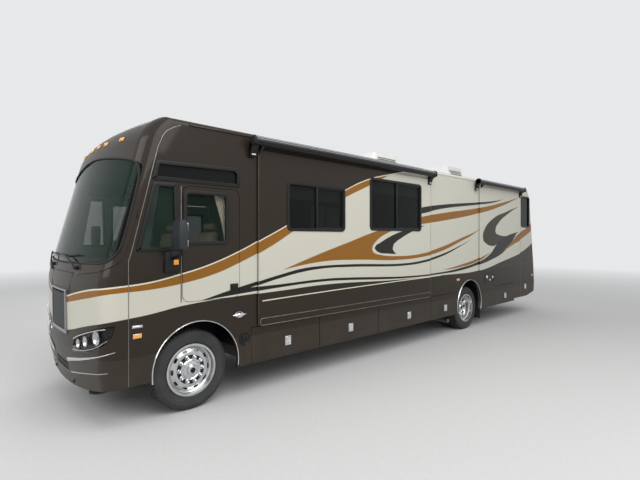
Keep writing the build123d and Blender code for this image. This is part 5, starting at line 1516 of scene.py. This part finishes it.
class MOTORHOME_OT_cab(bpy.types.Operator):
    """Furnish the cab: padded chairs on their bases, dash fittings, curtains and pleated shades"""
    bl_idname = "motorhome.cab"
    bl_label = "Cab"

    def execute(self, context):
        self.add_chairs()
        self.add_dash()
        self.add_curtains()
        return {"FINISHED"}

    def add_chairs(self):
        """Two captain's chairs: cushions swollen by a cloth simulation, on hard bases with arms."""
        y, bases = 0.6, []
        foot = [(ahead(x), z) for x, z in ((-0.36, 1.16), (0.0, 1.16), (-0.06, 1.30), (0.02, 1.392),
                                           (-0.42, 1.392), (-0.3, 1.30))]
        arm = ((-0.4, 0.262, 1.62), (-0.38, 0.272, 1.70), (-0.2, 0.272, 1.715), (-0.02, 0.272, 1.70))
        for side in (1, -1):
            bases.append(prism(foot, side * y - 0.17, side * y + 0.17, "Y", 0.012))
            bases += [tube([(ahead(x), side * y + hand * out, z) for x, out, z in arm], 0.024)
                      for hand in (-1, 1)]
        settle(bases, "chair_bases", "coach", "black_satin", replaced=("cab_seats",))
        seat = block((ahead(-0.385), y - 0.235, 1.412), (ahead(0.06), y + 0.235, 1.512), 0.03, 3)
        back = block((-0.05, y - 0.225, 0.0), (0.05, y + 0.225, 0.56), 0.035, 3)
        rest = block((-0.04, y - 0.13, 0.575), (0.04, y + 0.13, 0.665), 0.03, 3)
        for piece in (back, rest):
            piece.data.transform(Matrix.Translation((ahead(-0.405), 0, 1.53))
                                 @ Matrix.Rotation(math.radians(-13), 4, "Y"))
        for piece, name, fill, cap, channel in ((seat, "seat", 0.85, 0.022, 0.13),
                                                (back, "back", 0.85, 0.022, 0.13),
                                                (rest, "headrest", 0.9, 0.014, None)):
            self.pad(piece, cap)
            if channel:  # two sewn channels, at this distance from the chair's middle
                outward = [vertex.normal.copy() for vertex in piece.data.vertices]
                for vertex, normal in zip(piece.data.vertices, outward):
                    vertex.co -= normal * math.exp(-((abs(vertex.co.y - y) - channel) / 0.009) ** 2) * 0.006
            for side_name, padded in (("left", piece), ("right", on_side(duplicate(piece), -1))):
                settle(padded, f"chair_{name}_{side_name}", "coach", "seat_leather", smooth=180)

    def pad(self, piece, cap):
        """Swells a rounded block under a light inner pressure, no point further than the cap."""
        add_modifier(piece, "REMESH", mode="VOXEL", voxel_size=0.014)
        rest = [vertex.co.copy() for vertex in piece.data.vertices]
        only(piece)
        cloth = piece.modifiers.new("Pressure", "CLOTH")
        cloth.settings.use_pressure = True
        cloth.settings.uniform_pressure_force = 4
        cloth.settings.effector_weights.gravity = 0
        cloth.settings.quality = 5
        for frame_number in range(1, 21):
            bpy.context.scene.frame_set(frame_number)
        bpy.ops.object.modifier_apply(modifier=cloth.name)
        bpy.context.scene.frame_set(1)
        for vertex, place in zip(piece.data.vertices, rest):
            move = vertex.co - place
            if move.length > cap:
                vertex.co = place + move.normalized() * cap
        add_modifier(piece, "SUBSURF", levels=1, render_levels=1)

    def add_dash(self):
        """Instrument hood with a dark screen, a second screen beside it, and four round vents."""
        hood = [(ahead(x), z) for x, z in
                ((0.34, 1.665), (0.36, 1.80), (0.42, 1.835), (0.62, 1.80), (0.66, 1.665))]
        settle(prism(hood, 0.36, 0.76, "Y", 0.02), "instrument_hood", "coach", "cab_moulding")
        screens = [block((ahead(0.336), 0.39, 1.69), (ahead(0.345), 0.73, 1.785)),
                   block((ahead(0.368), -0.14, 1.52), (ahead(0.382), 0.14, 1.665), 0.006)]
        settle(screens, "dash_screens", "coach", "black_gloss")
        vents = []
        for y in (-0.95, -0.35, 0.28, 1.0):
            vents.append(lathe((ahead(0.379), y, 1.63), [
                (0.034, 0.0), (0.038, 0.006), (0.044, 0.006), (0.046, 0.0), (0.034, 0.0)], 32, "X"))
            vents += [block((ahead(0.37), y - 0.034, z), (ahead(0.38), y + 0.034, z + 0.003), 0.001)
                      for z in (1.607 + step * 0.0135 for step in range(4))]
        settle(vents, "dash_vents", "coach", "black_satin")

    def add_curtains(self):
        """A gathered curtain behind each cab side window, and pleated shades in the front room's windows."""
        low, high, rear, cloth, waves = 1.93, 2.56, -0.5, 0.34, 6
        for name, side in SIDES:
            def hang(u, v, side=side):
                width = 0.09 + 0.17 * v ** 1.4
                depth = width / (2 * math.pi * waves) * math.sqrt(2 * ((cloth / width) ** 2 - 1))
                y = WALL_Y - 0.075 + depth * math.sin(2 * math.pi * waves * u)
                return (ahead(rear + width * (1 - u)), side * y, low + v * (high - low))
            curtain = sheet(96, 16, hang, 0.0015, 0)
            settle(curtain, f"cab_curtain_{name}", "coach", "curtain_cloth", smooth=180)
        for name, front, rear, low, high in (("front", -1.33, -2.40, 2.52, 2.73),
                                             ("rear", -3.05, -4.44, 2.74, 2.945)):
            pleats = [(y + 0.008 * (step % 2), low + (high - low) * step / 16)
                      for y, steps in ((1.225, range(17)), (1.213, range(16, -1, -1))) for step in steps]
            settle(prism(pleats, ahead(rear), ahead(front)), f"pleated_shade_{name}", "slide_out_front",
                   "shade_cloth")


OPERATORS = [MOTORHOME_OT_stage, MOTORHOME_OT_finishes, MOTORHOME_OT_shell, MOTORHOME_OT_windows,
             MOTORHOME_OT_mouldings, MOTORHOME_OT_nose, MOTORHOME_OT_mirrors, MOTORHOME_OT_hardware,
             MOTORHOME_OT_arches, MOTORHOME_OT_tyres, MOTORHOME_OT_wheel_trim, MOTORHOME_OT_toppers,
             MOTORHOME_OT_roof, MOTORHOME_OT_tail, MOTORHOME_OT_cab]
SETTINGS = {"motorhome_stage": StageSettings, "motorhome_paint": PaintSettings,
            "motorhome_trim": TrimSettings, "motorhome_wheels": WheelSettings}


class MOTORHOME_PT_panel(bpy.types.Panel):
    """Steps of the motorhome, in the order in which they run"""
    bl_label = "Motorhome"
    bl_idname = "MOTORHOME_PT_panel"
    bl_space_type = "VIEW_3D"
    bl_region_type = "UI"
    bl_category = "Motorhome"

    def draw(self, context):
        for step in OPERATORS:
            self.layout.operator(step.bl_idname)


def register():
    for group in (*SETTINGS.values(), *OPERATORS, MOTORHOME_PT_panel):
        bpy.utils.register_class(group)
    for name, group in SETTINGS.items():
        setattr(bpy.types.Scene, name, PointerProperty(type=group))


def unregister():
    for name in SETTINGS:
        delattr(bpy.types.Scene, name)
    for group in (MOTORHOME_PT_panel, *reversed(OPERATORS), *SETTINGS.values()):
        bpy.utils.unregister_class(group)


def main():
    register()
    for step in OPERATORS:
        area, name = step.bl_idname.split(".")
        start()
        getattr(getattr(bpy.ops, area), name)()


if __name__ == "__main__":
    main()
